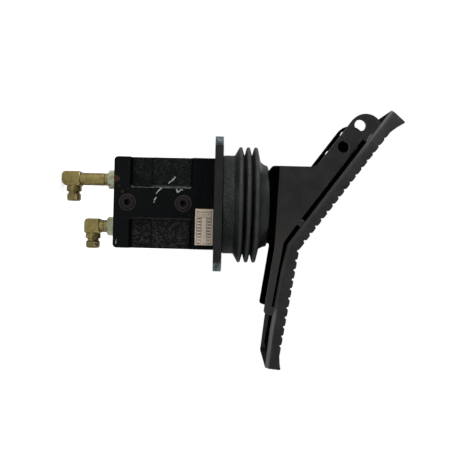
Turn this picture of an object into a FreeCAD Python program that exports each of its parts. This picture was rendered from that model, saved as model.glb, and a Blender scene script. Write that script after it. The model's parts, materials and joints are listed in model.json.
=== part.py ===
import FreeCAD, Part
import math
import os

Vec = FreeCAD.Vector

# Foot pedal valve. Z runs up along the valve, X along the pedal towards the heel, Y along the pivot pin.
# The origin is the centre of the mounting plate's underside, and the nameplate is on the -Y side.

# Running and seating clearances
slip_gap = 0.05             # between pieces that slide together by hand
running_gap = 0.03          # radial gap of a sliding or turning fit
rest_gap = 0.3              # free gap between pieces that meet only in use
over = 1.0                  # cutting tools and fused roots pass the face they meet by this much
edge_break = 0.8            # bevel on the ends of turned pieces
ring_flat = 0.45            # share of an O-ring's section radius that lies flat
nut_bevel_slope = 0.6

# Cast valve body
body_length = 92.5
body_depth = 70.0
body_height = 102.0
body_edge_radius = 4.0
band_width = 30.0           # smooth band between the rough recesses
recess_top = 24.0           # below the plate
recess_step = 63.7
recess_foot = 17.5          # above the body's foot
recess_depth = 3.5
recess_step_depth = 1.2
recess_corner = 2.0
recess_draft = 1.4          # the recess walls lean this far outwards
cast_pad_rise = 25.5        # above the body's foot
cast_pad_length = 6.5
cast_pad_width = 4.2
cast_pad_height = 1.0

# Spool bores, one under each end of the pedal
bore_spacing = 50.0
chamber_radius = 12.0
chamber_depth = 62.0
spool_radius = 4.0
spool_waist_radius = 2.6
spool_stem_radius = 3.0
spool_top = 44.0            # below the plate
spool_shoulder = 51.0
spool_foot = 18.0           # above the body's foot
lower_land = 10.0
waist_length = 7.0
metering_bore_radius = 1.3
cross_hole_radius = 0.9

# Ports and galleries
thread_radius = 7.15
port_depth = 16.0
pressure_rise = 14.0        # above the body's foot
tank_level = 31.6           # below the plate
gallery_radius = 5.0
link_radius = 4.0
link_rise = 8.0             # the pressure link lies this far above its gallery
side_port_depth = 13.0

# Hex-socket plugs and the pressed ball in the near face
plug_radius = 5.4
plug_length = 9.0
plug_head_radius = 7.7
plug_head_height = 1.4
plug_rim_height = 0.8
plug_step_radius = 5.4
plug_hex = 5.5
plug_ring_radius = 0.9
ball_plug_radius = 1.8
ball_plug_x = -13.0
ball_plug_stand = 0.5       # proud of the face
ball_plug_length = 5.0

# Nameplate
nameplate_length = 36.5
nameplate_height = 18.0
nameplate_thickness = 0.8
nameplate_edge = 5.2        # from the middle plane
nameplate_drop = 1.0        # below the mounting plate
rivet_radius = 1.1
rivet_inset = 2.2
rivet_length = 4.0
rivet_shank_radius = 0.65
rivet_head_height = 0.8
rivet_end_gap = 0.5

# Mounting plate
plate_length = 134.0
plate_width = 108.0
plate_thickness = 8.0
plate_corner_radius = 10.0
register_depth = 1.0        # pocket in the plate's underside that takes the body
bolt_inset_x = 10.0         # from the plate's edges
bolt_inset_y = 12.0
bolt_hole_radius = 4.5

# Rubber boot
boot_collar_radius = 52.4
boot_collar_height = 14.0
boot_wall = 3.0
boot_peak_radius = 61.6
boot_valley_radius = 53.4
boot_first_peak = 18.1      # above the mounting plate
pleat_pitch = 7.95
pleat_count = 3
boot_flank = 5.6            # height of the last pleat's upper flank
boot_neck_radius = 43.6
boot_neck_height = 6.4
boot_rim_bevel = 1.0
pleat_flat = 1.1            # half height of a pleat's blunt edge

# Pivot bracket under the boot
bracket_base_thickness = 6.0
bracket_rim_height = 6.0
bracket_rim_width = 4.0
cheek_gap = 40.0
cheek_thickness = 8.0
cheek_radius = 12.0
pin_radius = 6.0
cap_screw_x = 22.0
cap_screw_y = 27.0
cap_screw_length = 30.0
pin_chamfer = 0.8
set_screw_radius = 2.5
set_screw_socket = 2.5

# Metric screws
screw_radius = 4.0
screw_head_radius = 6.5
screw_head_height = 8.0
screw_hex = 6.0
screw_hole_gap = 0.5
thread_run = 2.0            # thread left under a screw's end

# Rocker cam
hub_radius = 11.0
hub_clearance = 1.0         # over the bracket's floor
bush_wall = 1.5
bush_flange = 1.5
bush_length = 15.5
cam_top = 55.3
cam_disc_thickness = 8.3
wing_thickness = 9.0
wing_width = 26.0
wing_end = 10.0             # past the rod axis
wing_bevel = 3.0
cam_edge_bevel = 1.5
adjuster_radius = 5.0
adjuster_pad_radius = 4.3
adjuster_pad_height = 1.0
adjuster_socket = 5.0
adjuster_hex = 16.0
adjuster_nut_height = 4.6
adjuster_length = 17.0

# Push rods, guides and springs
rod_radius = 5.0
rod_head_radius = 6.0
rod_head_length = 4.0
rod_travel = 5.4
seat_play = 0.6             # between a raised spring seat and its guide
guide_depth = 14.0
guide_neck_radius = 8.5
wiper_height = 3.0
wiper_width = 2.0
wiper_lip = 1.2
o_ring_radius = 1.1
ring_groove_play = 1.2      # groove height over the ring's section
seat_radius = 10.5
seat_thickness = 3.0
seat_boss_radius = 3.2
seat_boss_length = 4.0
seat_socket = 1.2
collar_radius = 7.0
collar_thickness = 2.0
return_coil_radius = 9.3
return_wire_radius = 0.9
return_turns = 4.0
metering_coil_radius = 4.6
metering_wire_radius = 0.6
metering_turns = 4.0

# Elbows on the work ports
toe_arm = 49.6              # from the body down to the outlet axis
heel_arm = 28.2
toe_back = 12.0             # forging past the outlet axis
heel_back = 8.4
elbow_reach = 23.6
arm_radius = 6.7
arm_neck_radius = 5.2
stud_length = 14.0
nut_flats = 17.46
nut_height = 11.0
washer_radius = 9.9
washer_thickness = 1.6
elbow_bore_radius = 4.2
arm_bore_radius = 3.8
thread_point = 1.2
arm_collar_gap = 1.0        # under the nut
arm_groove_drop = 2.2
arm_groove_width = 1.0
arm_groove_depth = 0.7
forging_half_width = 7.4
forging_edge = 1.2
forging_corner = 2.5
nose_collar_radius = 7.9
nose_groove_radius = 5.9
nose_step = 0.8
nose_collar_width = 4.4
nose_groove_width = 2.6

# Steel pedal bracket
bracket_width = 73.0
side_plate_thickness = 4.5
base_length = 80.4
base_thickness = 9.8
base_edge_radius = 5.0
base_screw_x = 28.0
base_screw_y = 12.0
base_screw_length = 15.0
ear_hole_radius = 6.0
ear_hole_depth = 28.0       # below the tread's crest line
ear_hole_place = 137.0      # along the toe half
ear_hole_spacing = 27.6
ear_radius = 17.0
ear_centre_place = 135.8
ear_centre_depth = 20.4
ear_root_round = 12.0
relief_bend_round = 4.0
relief_depth = 16.7
wide_relief_depth = 18.7
ear_tab_start = 128.1
wide_relief_start = 98.9
weld_tab_start = 19.0
weld_tab_end = 25.9
strip_root_place = 4.3
strip_root_depth = 24.4
strip_end_depth = 21.5
strip_length = 69.3
strip_tab_length = 9.8
strip_root_round = 20.0
strip_end_round = 2.5
strip_end_lean = 1.9

# Pedal plate and rubber tread
bend_x = 43.7
bend_z = 86.4
toe_angle = 36.4
heel_angle = 9.24
toe_length = 148.9
heel_length = 108.3
toe_flare_length = 17.4
toe_flare_rise = 5.6
heel_flare_length = 14.0
heel_flare_rise = 3.5
tread_width = 80.0
tread_depth = 14.3
heel_end_depth = 10.9
toe_end_lean = 1.0
heel_end_lean = 0.7
skirt_taper_start = 63.5    # from the bend, along the heel half
skirt_taper_round = 10.0
skirt_bend_round = 8.0
crest_round = 6.0
flare_root_round = 3.0
tread_edge = 1.0
tread_wall = 3.0
tread_web = 3.5
rib_height = 1.8
rib_pitch = 9.35
rib_groove = 1.3            # half width of a groove at the crest line
rib_groove_floor = 0.5
rib_edge = 1.2
first_rib_inset = 7.95      # from the toe flare
toe_ribs = 15
heel_ribs = 10
heel_rib_pitch = 9.7
heel_first_rib = 11.3       # from the bend
pedal_plate_thickness = 4.0
plate_end_gap = 6.0         # the plate stops this far short of the tread's end walls
plate_bend_outside = 5.0
plate_bend_inside = 1.0

# Values that follow from the ones above
bore_x = bore_spacing / 2
face_y = body_depth / 2
recess_bottom = body_height - recess_foot
spool_bottom = body_height - spool_foot
pressure_level = body_height - pressure_rise
bolt_spacing_x = plate_length - 2 * bolt_inset_x
bolt_spacing_y = plate_width - 2 * bolt_inset_y
bracket_floor = plate_thickness + bracket_base_thickness
pivot_z = bracket_floor + hub_radius + hub_clearance
pad_z = pivot_z + rod_head_radius + rest_gap
guide_top = bracket_floor
seat_top = -guide_depth - rod_travel - seat_play
cam_disc_bottom = cam_top - cam_disc_thickness
base_top = cam_top + base_thickness
inner_half = bracket_width / 2 - side_plate_thickness
bracket_radius = boot_collar_radius - boot_wall - slip_gap
disc_radius = boot_neck_radius - boot_wall - slip_gap
hub_half = cheek_gap / 2 - bush_flange - rest_gap
wing_bottom = cam_disc_bottom - wing_thickness
cheek_reach = cheek_gap / 2 + cheek_thickness
web_depth = rib_height + tread_web
plate_under = web_depth + pedal_plate_thickness


def block(x0, x1, y0, y1, z0, z1):
    return Part.makeBox(x1 - x0, y1 - y0, z1 - z0, Vec(x0, y0, z0))


def upright(radius, x, y, z0, z1):
    return Part.makeCylinder(radius, z1 - z0, Vec(x, y, z0), Vec(0, 0, 1))


def crosswise(radius, x, z, y0, y1):
    return Part.makeCylinder(radius, y1 - y0, Vec(x, y0, z), Vec(0, 1, 0))


def lengthwise(radius, y, z, x0, x1):
    return Part.makeCylinder(radius, x1 - x0, Vec(x0, y, z), Vec(1, 0, 0))


def outline(corners, bevel=False):
    """A closed outline in the XZ plane. Each corner is x, z and the size of its round or bevel."""
    spots = [Vec(x, 0, z) for x, z, _ in corners]
    edges = []
    entry = []
    leave = []
    middle = []
    for i, (_, _, radius) in enumerate(corners):
        before = (spots[i - 1] - spots[i]).normalize()
        after = (spots[(i + 1) % len(spots)] - spots[i]).normalize()
        half = before.getAngle(after) / 2
        back = radius / math.tan(half) if radius else 0.0
        entry.append(spots[i] + before * back)
        leave.append(spots[i] + after * back)
        inward = (before + after).normalize() if radius else Vec(0, 0, 0)
        middle.append(spots[i] + inward * (radius / math.sin(half) - radius) if radius else spots[i])
    for i, (_, _, radius) in enumerate(corners):
        if radius and bevel:
            edges.append(Part.LineSegment(entry[i], leave[i]).toShape())
        elif radius:
            edges.append(Part.Arc(entry[i], middle[i], leave[i]).toShape())
        following = entry[(i + 1) % len(corners)]
        if leave[i].distanceToPoint(following) > 1e-6:
            edges.append(Part.LineSegment(leave[i], following).toShape())
    return Part.Wire(edges)


def slab(corners, y0, y1, bevel=False):
    face = Part.Face(outline(corners, bevel))
    face.translate(Vec(0, y0, 0))
    return face.extrude(Vec(0, y1 - y0, 0))


def turned(corners, x=0.0, y=0.0, bevel=True):
    """A turned solid about an upright axis. The corners are radius, height and edge break."""
    solid = Part.Face(outline(corners, bevel)).revolve(Vec(0, 0, 0), Vec(0, 0, 1), 360)
    solid.translate(Vec(x, y, 0))
    return solid


def washer(outer, inner, x, y, z0, z1):
    return upright(outer, x, y, z0, z1).cut(upright(inner, x, y, z0 - over, z1 + over))


def seal_ring(ring_radius, section_radius, x, y, z):
    """An O-ring as it lies squeezed, flat against its seat inside and outside."""
    flat = section_radius * ring_flat
    return turned(
        [(ring_radius - section_radius, z - flat, 0), (ring_radius - flat, z - section_radius, 0),
         (ring_radius + flat, z - section_radius, 0), (ring_radius + section_radius, z - flat, 0),
         (ring_radius + section_radius, z + flat, 0), (ring_radius + flat, z + section_radius, 0),
         (ring_radius - flat, z + section_radius, 0), (ring_radius - section_radius, z + flat, 0)], x, y)


def hex_bar(flats, x, y, z0, z1):
    corner = flats / math.sqrt(3)
    turn = math.pi / 3
    spots = [Vec(x + corner * math.cos(i * turn), y + corner * math.sin(i * turn), z0) for i in range(7)]
    return Part.Face(Part.makePolygon(spots)).extrude(Vec(0, 0, z1 - z0))


def hex_nut(flats, bore, x, y, z0, z1):
    """A hexagon nut whose corners are turned off at both faces."""
    corner = flats / math.sqrt(3)
    bevel = (corner - flats / 2) * nut_bevel_slope
    blank = turned(
        [(0, z0, 0), (flats / 2, z0, 0), (corner, z0 + bevel, 0), (corner, z1 - bevel, 0),
         (flats / 2, z1, 0), (0, z1, 0)], x, y)
    return hex_bar(flats, x, y, z0, z1).common(blank).cut(upright(bore, x, y, z0 - over, z1 + over))


def socket_screw(x, y, seat, length):
    """A cap screw that stands on its seat with the head up."""
    body = turned(
        [(0, seat - length, 0), (screw_radius, seat - length, edge_break), (screw_radius, seat, 0),
         (screw_head_radius, seat, 0), (screw_head_radius, seat + screw_head_height, edge_break),
         (0, seat + screw_head_height, 0)], x, y)
    top = seat + screw_head_height
    return body.cut(hex_bar(screw_hex, x, y, top - screw_head_height / 2, top + over))


def coil(mean_radius, wire_radius, x, z0, z1, turns):
    """A compression spring between two heights, its wire four-sided in section."""
    height = z1 - z0 - 2 * wire_radius
    helix = Part.makeHelix(height / turns, height, mean_radius)
    angles = [i * math.pi / 2 for i in range(5)]
    section = Part.makePolygon([Vec(mean_radius + wire_radius * math.cos(a), 0, wire_radius * math.sin(a))
                                for a in angles])
    spring = Part.Wire(helix).makePipeShell([section], True, True)
    spring.translate(Vec(x, 0, z0 + wire_radius))
    return spring


def toe_point(along, height):
    """A point by its place along the toe half and its height over the crest line."""
    slope = math.radians(toe_angle)
    x = bend_x - along * math.cos(slope) + height * math.sin(slope)
    return x, bend_z + along * math.sin(slope) + height * math.cos(slope)


def heel_point(along, height):
    """The same on the heel half."""
    slope = math.radians(heel_angle)
    x = bend_x + along * math.cos(slope) + height * math.sin(slope)
    return x, bend_z - along * math.sin(slope) + height * math.cos(slope)


def bend_point(height):
    """The point over the bend where both halves have the same height."""
    half = math.radians(toe_angle - heel_angle) / 2
    middle = math.radians(toe_angle + heel_angle) / 2
    reach = height / math.cos(half)
    return bend_x + reach * math.sin(middle), bend_z + reach * math.cos(middle)


def facing_near(solid, x, z, y):
    """Turn a piece made upright so that its head looks out of the near face."""
    solid.rotate(Vec(0, 0, 0), Vec(1, 0, 0), 90)
    solid.translate(Vec(x, y, z))
    return solid


def cap_screw_places():
    return [(x, y) for x in (-cap_screw_x, cap_screw_x) for y in (-cap_screw_y, cap_screw_y)]


def base_screw_places():
    return [(x, y) for x in (-base_screw_x, base_screw_x) for y in (-base_screw_y, base_screw_y)]


def rivet_places():
    left = nameplate_edge + rivet_inset
    right = nameplate_edge + nameplate_length - rivet_inset
    top = -nameplate_drop - rivet_inset
    low = -nameplate_drop - nameplate_height + rivet_inset
    return [(x, z) for x in (left, right) for z in (low, top)]


def cast_recess(side, end, top, depth):
    """One rough recess with leaning walls, open at the end face, in the near or the far face."""
    wires = []
    for lean, y in ((0, side * (face_y - depth)), (recess_draft, side * face_y),
                    (recess_draft, side * (face_y + over))):
        inner = end * (band_width / 2 + recess_draft - lean)
        outer = end * body_length
        wire = outline([(inner, -recess_bottom - lean, recess_corner), (outer, -recess_bottom - lean, 0),
                        (outer, -top + lean, 0), (inner, -top + lean, recess_corner)], bevel=True)
        wire.translate(Vec(0, y, 0))
        wires.append(wire)
    return Part.makeLoft(wires, True, True)


def cast_pads():
    """Small raised pads on the floors of the near recesses."""
    floor = -face_y + recess_depth + recess_step_depth
    middle = -body_height + cast_pad_rise
    return [block(x - cast_pad_length / 2, x + cast_pad_length / 2, floor - cast_pad_height, floor + over,
                  middle - cast_pad_width / 2, middle + cast_pad_width / 2) for x in (-bore_x, bore_x)]


def valve_body():
    half = body_length / 2
    body = slab([(-half, -body_height, body_edge_radius), (half, -body_height, body_edge_radius),
                 (half, register_depth, 0), (-half, register_depth, 0)], -face_y, face_y)
    cuts = []
    for side in (-1, 1):
        for end in (-1, 1):
            cuts.append(cast_recess(side, end, recess_top, recess_depth))
            cuts.append(cast_recess(side, end, recess_step, recess_depth + recess_step_depth))
    body = body.cut(cuts).fuse(cast_pads())
    cuts = []
    for x in (-bore_x, bore_x):
        port_top = -body_height + port_depth
        cuts.append(upright(chamber_radius, x, 0, -chamber_depth, register_depth + over))
        cuts.append(upright(spool_radius + running_gap, x, 0, port_top - over, -chamber_depth + over))
        cuts.append(upright(thread_radius + slip_gap, x, 0, -body_height - over, port_top))
        cuts.append(upright(thread_radius + 2 * o_ring_radius, x, 0, -body_height - over,
                            -body_height + 2 * o_ring_radius))
    for level, link in ((-pressure_level, -pressure_level + link_rise), (-tank_level, -tank_level)):
        cuts.append(lengthwise(link_radius, 0, link, -bore_x, bore_x))
        cuts.append(crosswise(gallery_radius, 0, level, -face_y + over, face_y - over))
        cuts.append(crosswise(plug_radius, 0, level, -face_y - over, -face_y + plug_length + over))
        cuts.append(crosswise(plug_radius + 2 * plug_ring_radius, 0, level, -face_y - over,
                              -face_y + 2 * plug_ring_radius))
        cuts.append(crosswise(thread_radius + slip_gap, 0, level, face_y - side_port_depth, face_y + over))
        cuts.append(crosswise(thread_radius + 2 * o_ring_radius, 0, level, face_y - 2 * o_ring_radius,
                              face_y + over))
    cuts.append(crosswise(ball_plug_radius, ball_plug_x, -pressure_level, -face_y - over,
                          -face_y + ball_plug_length))
    for x, y in cap_screw_places():
        cuts.append(upright(screw_radius, x, y, bracket_floor - cap_screw_length - thread_run,
                            register_depth + over))
    for x, z in rivet_places():
        cuts.append(crosswise(rivet_shank_radius, x, z, -face_y - over, -face_y + rivet_length))
    return body.cut(cuts)


def gallery_plugs():
    plugs = []
    for level in (-pressure_level, -tank_level):
        plug = turned(
            [(0, -plug_length, 0), (plug_radius, -plug_length, edge_break), (plug_radius, 0, 0),
             (plug_head_radius, 0, 0), (plug_head_radius, plug_rim_height, 0),
             (plug_step_radius, plug_head_height, 0), (0, plug_head_height, 0)])
        plug = plug.cut(hex_bar(plug_hex, 0, 0, -plug_length / 2, plug_head_height + over))
        plugs.append(facing_near(plug, 0, level, -face_y))
    return Part.makeCompound(plugs)


def plug_o_rings():
    rings = []
    for level in (-pressure_level, -tank_level):
        ring = seal_ring(plug_radius + plug_ring_radius, plug_ring_radius, 0, 0, -plug_ring_radius)
        rings.append(facing_near(ring, 0, level, -face_y))
    return Part.makeCompound(rings)


def ball_plug():
    middle_y = -face_y + ball_plug_radius - ball_plug_stand
    return Part.makeSphere(ball_plug_radius, Vec(ball_plug_x, middle_y, -pressure_level))


def nameplate():
    low = -nameplate_drop - nameplate_height
    plate = block(nameplate_edge, nameplate_edge + nameplate_length,
                  -face_y - nameplate_thickness, -face_y, low, -nameplate_drop)
    front = -face_y - nameplate_thickness
    return plate.cut([crosswise(rivet_shank_radius, x, z, front - over, -face_y + over)
                      for x, z in rivet_places()])


def nameplate_rivets():
    rivets = []
    for x, z in rivet_places():
        end = rivet_end_gap - rivet_length - nameplate_thickness
        rivet = turned([(0, end, 0), (rivet_shank_radius, end, 0), (rivet_shank_radius, 0, 0),
                        (rivet_radius, 0, 0), (rivet_shank_radius, rivet_head_height, 0),
                        (0, rivet_head_height, 0)])
        rivets.append(facing_near(rivet, x, z, -face_y - nameplate_thickness))
    return Part.makeCompound(rivets)


def mounting_plate():
    plate = block(-plate_length / 2, plate_length / 2, -plate_width / 2, plate_width / 2, 0, plate_thickness)
    corners = [edge for edge in plate.Edges if edge.BoundBox.ZLength > plate_thickness / 2]
    plate = plate.makeFillet(plate_corner_radius, corners)
    pocket_gap = nameplate_thickness + rest_gap
    pocket_x = body_length / 2 + pocket_gap
    pocket_y = face_y + pocket_gap
    cuts = [block(-pocket_x, pocket_x, -pocket_y, pocket_y, -over, register_depth)]
    for x in (-bolt_spacing_x / 2, bolt_spacing_x / 2):
        for y in (-bolt_spacing_y / 2, bolt_spacing_y / 2):
            cuts.append(upright(bolt_hole_radius, x, y, -over, plate_thickness + over))
    for x, y in cap_screw_places():
        cuts.append(upright(screw_radius + screw_hole_gap, x, y, -over, plate_thickness + over))
    for x in (-bore_x, bore_x):
        cuts.append(upright(guide_neck_radius + slip_gap, x, 0, -over, plate_thickness + over))
    return plate.cut(cuts)


def pivot_bracket():
    """Round base with a rim that the boot's collar grips, and two cheeks for the pivot pin."""
    rim_top = bracket_floor + bracket_rim_height
    rim_inner = bracket_radius - bracket_rim_width
    base = turned(
        [(0, plate_thickness, 0), (bracket_radius, plate_thickness, 0), (bracket_radius, rim_top, edge_break),
         (rim_inner, rim_top, 0), (rim_inner, bracket_floor, 0), (0, bracket_floor, 0)])
    cheeks = []
    for side in (-1, 1):
        inner = side * cheek_gap / 2
        outer = inner + side * cheek_thickness
        profile = [(-cheek_radius, bracket_floor - over, 0), (cheek_radius, bracket_floor - over, 0),
                   (cheek_radius, pivot_z + cheek_radius, cheek_radius),
                   (-cheek_radius, pivot_z + cheek_radius, cheek_radius)]
        cheeks.append(slab(profile, min(inner, outer), max(inner, outer)))
    bracket = base.fuse(cheeks)
    cuts = [crosswise(pin_radius, 0, pivot_z, -cheek_reach - over, cheek_reach + over)]
    cuts.append(upright(set_screw_radius, 0, -cheek_reach + cheek_thickness / 2, pivot_z,
                        pivot_z + cheek_radius + over))
    for x in (-bore_x, bore_x):
        cuts.append(upright(guide_neck_radius + slip_gap, x, 0, 0, bracket_floor + over))
    for x, y in cap_screw_places():
        cuts.append(upright(screw_radius + screw_hole_gap, x, y, 0, bracket_floor + over))
    return bracket.cut(cuts).removeSplitter()


def cap_screws():
    return Part.makeCompound([socket_screw(x, y, bracket_floor, cap_screw_length)
                              for x, y in cap_screw_places()])


def pivot_pin():
    pin = crosswise(pin_radius, 0, pivot_z, -cheek_reach, cheek_reach)
    rims = [edge for edge in pin.Edges if edge.BoundBox.YLength < pin_radius]
    return pin.makeChamfer(pin_chamfer, rims)


def pivot_set_screw():
    y = -cheek_reach + cheek_thickness / 2
    top = pivot_z + cheek_radius - edge_break
    screw = upright(set_screw_radius, 0, y, pivot_z + pin_radius, top)
    return screw.cut(hex_bar(set_screw_socket, 0, y, top - set_screw_socket, top + over))


def boot():
    """Bellows between the bracket's rim and the cam's disc, one pleat for each turn of the profile."""
    collar_top = plate_thickness + boot_collar_height
    peaks = [plate_thickness + boot_first_peak + i * pleat_pitch for i in range(pleat_count)]
    shoulder = peaks[-1] + boot_flank
    top = max(shoulder + boot_neck_height, cam_disc_bottom + boot_wall)
    collar_inner = boot_collar_radius - boot_wall
    neck_inner = boot_neck_radius - boot_wall
    valley_inner = boot_valley_radius - boot_wall
    outer = [(boot_collar_radius, plate_thickness, boot_rim_bevel),
             (boot_collar_radius, collar_top, boot_rim_bevel)]
    inner = [(collar_inner, plate_thickness, 0), (collar_inner, collar_top, 0)]
    for i, z in enumerate(peaks):
        if i:
            outer.append((boot_valley_radius, z - pleat_pitch / 2, 0))
            inner.append((valley_inner, z - pleat_pitch / 2, 0))
        outer += [(boot_peak_radius, z - pleat_flat, 0), (boot_peak_radius, z + pleat_flat, 0)]
        inner.append((boot_peak_radius - boot_wall, z, 0))
    outer += [(boot_neck_radius, shoulder, 0), (boot_neck_radius, top, boot_rim_bevel)]
    inner += [(neck_inner, shoulder - boot_wall / 2, 0), (neck_inner, top, 0)]
    return turned(outer + inner[::-1])


def rocker_cam():
    """Disc that carries the pedal, a hub on the pivot pin and a wing over each push rod."""
    disc = turned([(0, cam_disc_bottom, 0), (disc_radius, cam_disc_bottom, 0),
                   (disc_radius, cam_top, cam_edge_bevel), (0, cam_top, 0)])
    wing_x = bore_x + wing_end
    wings = slab([(-wing_x, cam_disc_bottom + over, 0), (-wing_x, wing_bottom, wing_bevel),
                  (wing_x, wing_bottom, wing_bevel), (wing_x, cam_disc_bottom + over, 0)],
                 -wing_width / 2, wing_width / 2, bevel=True)
    hub = crosswise(hub_radius, 0, pivot_z, -hub_half, hub_half)
    web = block(-hub_radius, hub_radius, -hub_half, hub_half, pivot_z, cam_disc_bottom + over)
    cuts = [crosswise(pin_radius + running_gap + bush_wall, 0, pivot_z, -hub_half - over, hub_half + over)]
    for x in (-bore_x, bore_x):
        cuts.append(upright(adjuster_radius, x, 0, wing_bottom - over, pad_z + adjuster_length + over))
    for x, y in base_screw_places():
        cuts.append(upright(screw_radius, x, y, base_top - base_screw_length - thread_run, cam_top + over))
    return disc.fuse([wings, hub, web]).cut(cuts).removeSplitter()


def cam_bushes():
    bushes = []
    outer = pin_radius + running_gap + bush_wall
    for side in (-1, 1):
        inner_end = side * max(hub_half - bush_length, 0)
        seat = side * hub_half
        rim = seat + side * bush_flange
        sleeve = crosswise(outer, 0, pivot_z, min(inner_end, seat), max(inner_end, seat))
        flange = crosswise(hub_radius - edge_break, 0, pivot_z, min(seat, rim), max(seat, rim))
        bore = crosswise(pin_radius + running_gap, 0, pivot_z, -cheek_gap, cheek_gap)
        bushes.append(sleeve.fuse(flange).cut(bore).removeSplitter())
    return Part.makeCompound(bushes)


def adjusting_screws():
    screws = []
    top = pad_z + adjuster_length
    pad_top = pad_z + adjuster_pad_height
    neck_top = pad_top + adjuster_radius - adjuster_pad_radius
    for x in (-bore_x, bore_x):
        screw = turned([(0, pad_z, 0), (adjuster_pad_radius, pad_z, 0), (adjuster_pad_radius, pad_top, 0),
                        (adjuster_radius, neck_top, 0), (adjuster_radius, top, 0), (0, top, 0)], x)
        screws.append(screw.cut(hex_bar(adjuster_socket, x, 0, top - adjuster_socket, top + over)))
    return Part.makeCompound(screws)


def adjusting_nuts():
    low = wing_bottom - adjuster_nut_height
    return Part.makeCompound([hex_nut(adjuster_hex, adjuster_radius, x, 0, low, wing_bottom)
                              for x in (-bore_x, bore_x)])


def push_rod(x):
    """A rod with a domed head whose centre is level with the pivot, so that the cam rolls over it."""
    bottom = seat_top - seat_socket
    shoulder = pivot_z - rod_head_length
    dome = pivot_z + rod_head_radius
    return turned([(0, bottom, 0), (rod_radius, bottom, 0), (rod_radius, shoulder, 0),
                   (rod_head_radius, shoulder, 0), (rod_head_radius, dome, rod_head_radius), (0, dome, 0)], x,
                  bevel=False)


def rod_guide(x):
    bore = rod_radius + running_gap
    outer = chamber_radius - slip_gap
    groove = chamber_radius - 2 * o_ring_radius - slip_gap
    middle = -guide_depth / 2
    half = ring_groove_play * o_ring_radius
    pocket = rod_radius + wiper_width
    return turned(
        [(bore, -guide_depth, 0), (outer, -guide_depth, edge_break), (outer, middle - half, 0),
         (groove, middle - half, 0), (groove, middle + half, 0), (outer, middle + half, 0),
         (outer, register_depth, 0), (guide_neck_radius, register_depth, 0),
         (guide_neck_radius, guide_top, edge_break), (pocket, guide_top, 0),
         (pocket, guide_top - wiper_height, 0), (bore, guide_top - wiper_height, 0)], x)


def guide_o_ring(x):
    return seal_ring(chamber_radius - o_ring_radius - slip_gap, o_ring_radius, x, 0, -guide_depth / 2)


def rod_wiper(x):
    bore = rod_radius + running_gap
    outer = rod_radius + wiper_width
    lip = bore + wiper_width / 3
    low = guide_top - wiper_height
    return turned([(bore, low, 0), (outer, low, 0), (outer, guide_top, 0), (lip, guide_top + wiper_lip, 0),
                   (bore, guide_top + wiper_lip, 0)], x)


def spring_seat(x):
    low = seat_top - seat_thickness
    socket = rod_radius + slip_gap
    return turned(
        [(0, low - seat_boss_length, 0), (seat_boss_radius, low - seat_boss_length, edge_break),
         (seat_boss_radius, low, 0), (seat_radius, low, 0), (seat_radius, seat_top, edge_break),
         (socket, seat_top, 0), (socket, seat_top - seat_socket, 0), (0, seat_top - seat_socket, 0)], x)


def spool(x):
    """Pressure-reducing spool: a stem for the metering spring, two lands and a waist that meters."""
    waist_low = -spool_bottom + lower_land
    spool_body = turned(
        [(0, -spool_bottom, 0), (spool_radius, -spool_bottom, 0), (spool_radius, waist_low, 0),
         (spool_waist_radius, waist_low, 0), (spool_waist_radius, waist_low + waist_length, 0),
         (spool_radius, waist_low + waist_length, 0), (spool_radius, -spool_shoulder, 0),
         (spool_stem_radius, -spool_shoulder, 0), (spool_stem_radius, -spool_top, edge_break),
         (0, -spool_top, 0)], x)
    cross = waist_low + waist_length / 2
    bore = upright(metering_bore_radius, x, 0, -spool_bottom - over, cross)
    side_hole = lengthwise(cross_hole_radius, 0, cross, x - spool_radius - over, x + spool_radius + over)
    return spool_body.cut([bore, side_hole])


def spool_collar(x):
    return washer(collar_radius, spool_stem_radius + slip_gap, x, 0, -spool_shoulder,
                  -spool_shoulder + collar_thickness)


def return_spring(x):
    return coil(return_coil_radius, return_wire_radius, x, -chamber_depth, seat_top - seat_thickness,
                return_turns)


def metering_spring(x):
    return coil(metering_coil_radius, metering_wire_radius, x, -spool_shoulder + collar_thickness,
                seat_top - seat_thickness, metering_turns)


def elbow(x, arm, back):
    """A forged stud elbow: block, long or short arm with a neck, threaded stud, and a threaded outlet."""
    axis = -body_height - arm
    nut_face = -body_height - washer_thickness - nut_height
    collar = nut_face - arm_collar_gap
    groove_top = collar - arm_groove_drop
    wide = nose_collar_radius
    forging = slab(
        [(x - wide, axis + wide, 0), (x - wide, axis - back, forging_corner), (x + wide / 2, axis - back, 0),
         (x + wide, axis - wide, 0), (x + wide, axis + wide, 0)],
        -forging_half_width, forging_half_width, bevel=True)
    forging = forging.makeChamfer(forging_edge, forging.Edges)
    stem = turned(
        [(0, axis, 0), (arm_radius, axis, 0), (arm_radius, groove_top - arm_groove_width, 0),
         (arm_radius - arm_groove_depth, groove_top - arm_groove_width / 2, 0), (arm_radius, groove_top, 0),
         (arm_radius, collar, 0), (arm_neck_radius, collar, 0), (arm_neck_radius, nut_face, 0),
         (thread_radius, nut_face + thread_radius - arm_neck_radius, 0),
         (thread_radius, -body_height + stud_length, thread_point), (0, -body_height + stud_length, 0)], x)
    collar_start = wide + nose_step
    collar_end = collar_start + nose_collar_width
    groove_end = collar_end + nose_groove_width
    nose = turned(
        [(0, 0, 0), (wide - nose_step, 0, 0), (wide - nose_step, wide, 0), (wide, collar_start, 0),
         (wide, collar_end, 0), (nose_groove_radius, collar_end + nose_step, 0),
         (nose_groove_radius, groove_end, 0), (thread_radius, groove_end + nose_step, 0),
         (thread_radius, elbow_reach, thread_point), (0, elbow_reach, 0)])
    nose.rotate(Vec(0, 0, 0), Vec(0, 1, 0), 90)
    nose.translate(Vec(x, 0, axis))
    bores = [upright(arm_bore_radius, x, 0, axis, -body_height + stud_length + over),
             lengthwise(elbow_bore_radius, 0, axis, x - arm_bore_radius, x + elbow_reach + over)]
    return forging.fuse([stem, nose]).cut(bores).removeSplitter()


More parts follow.
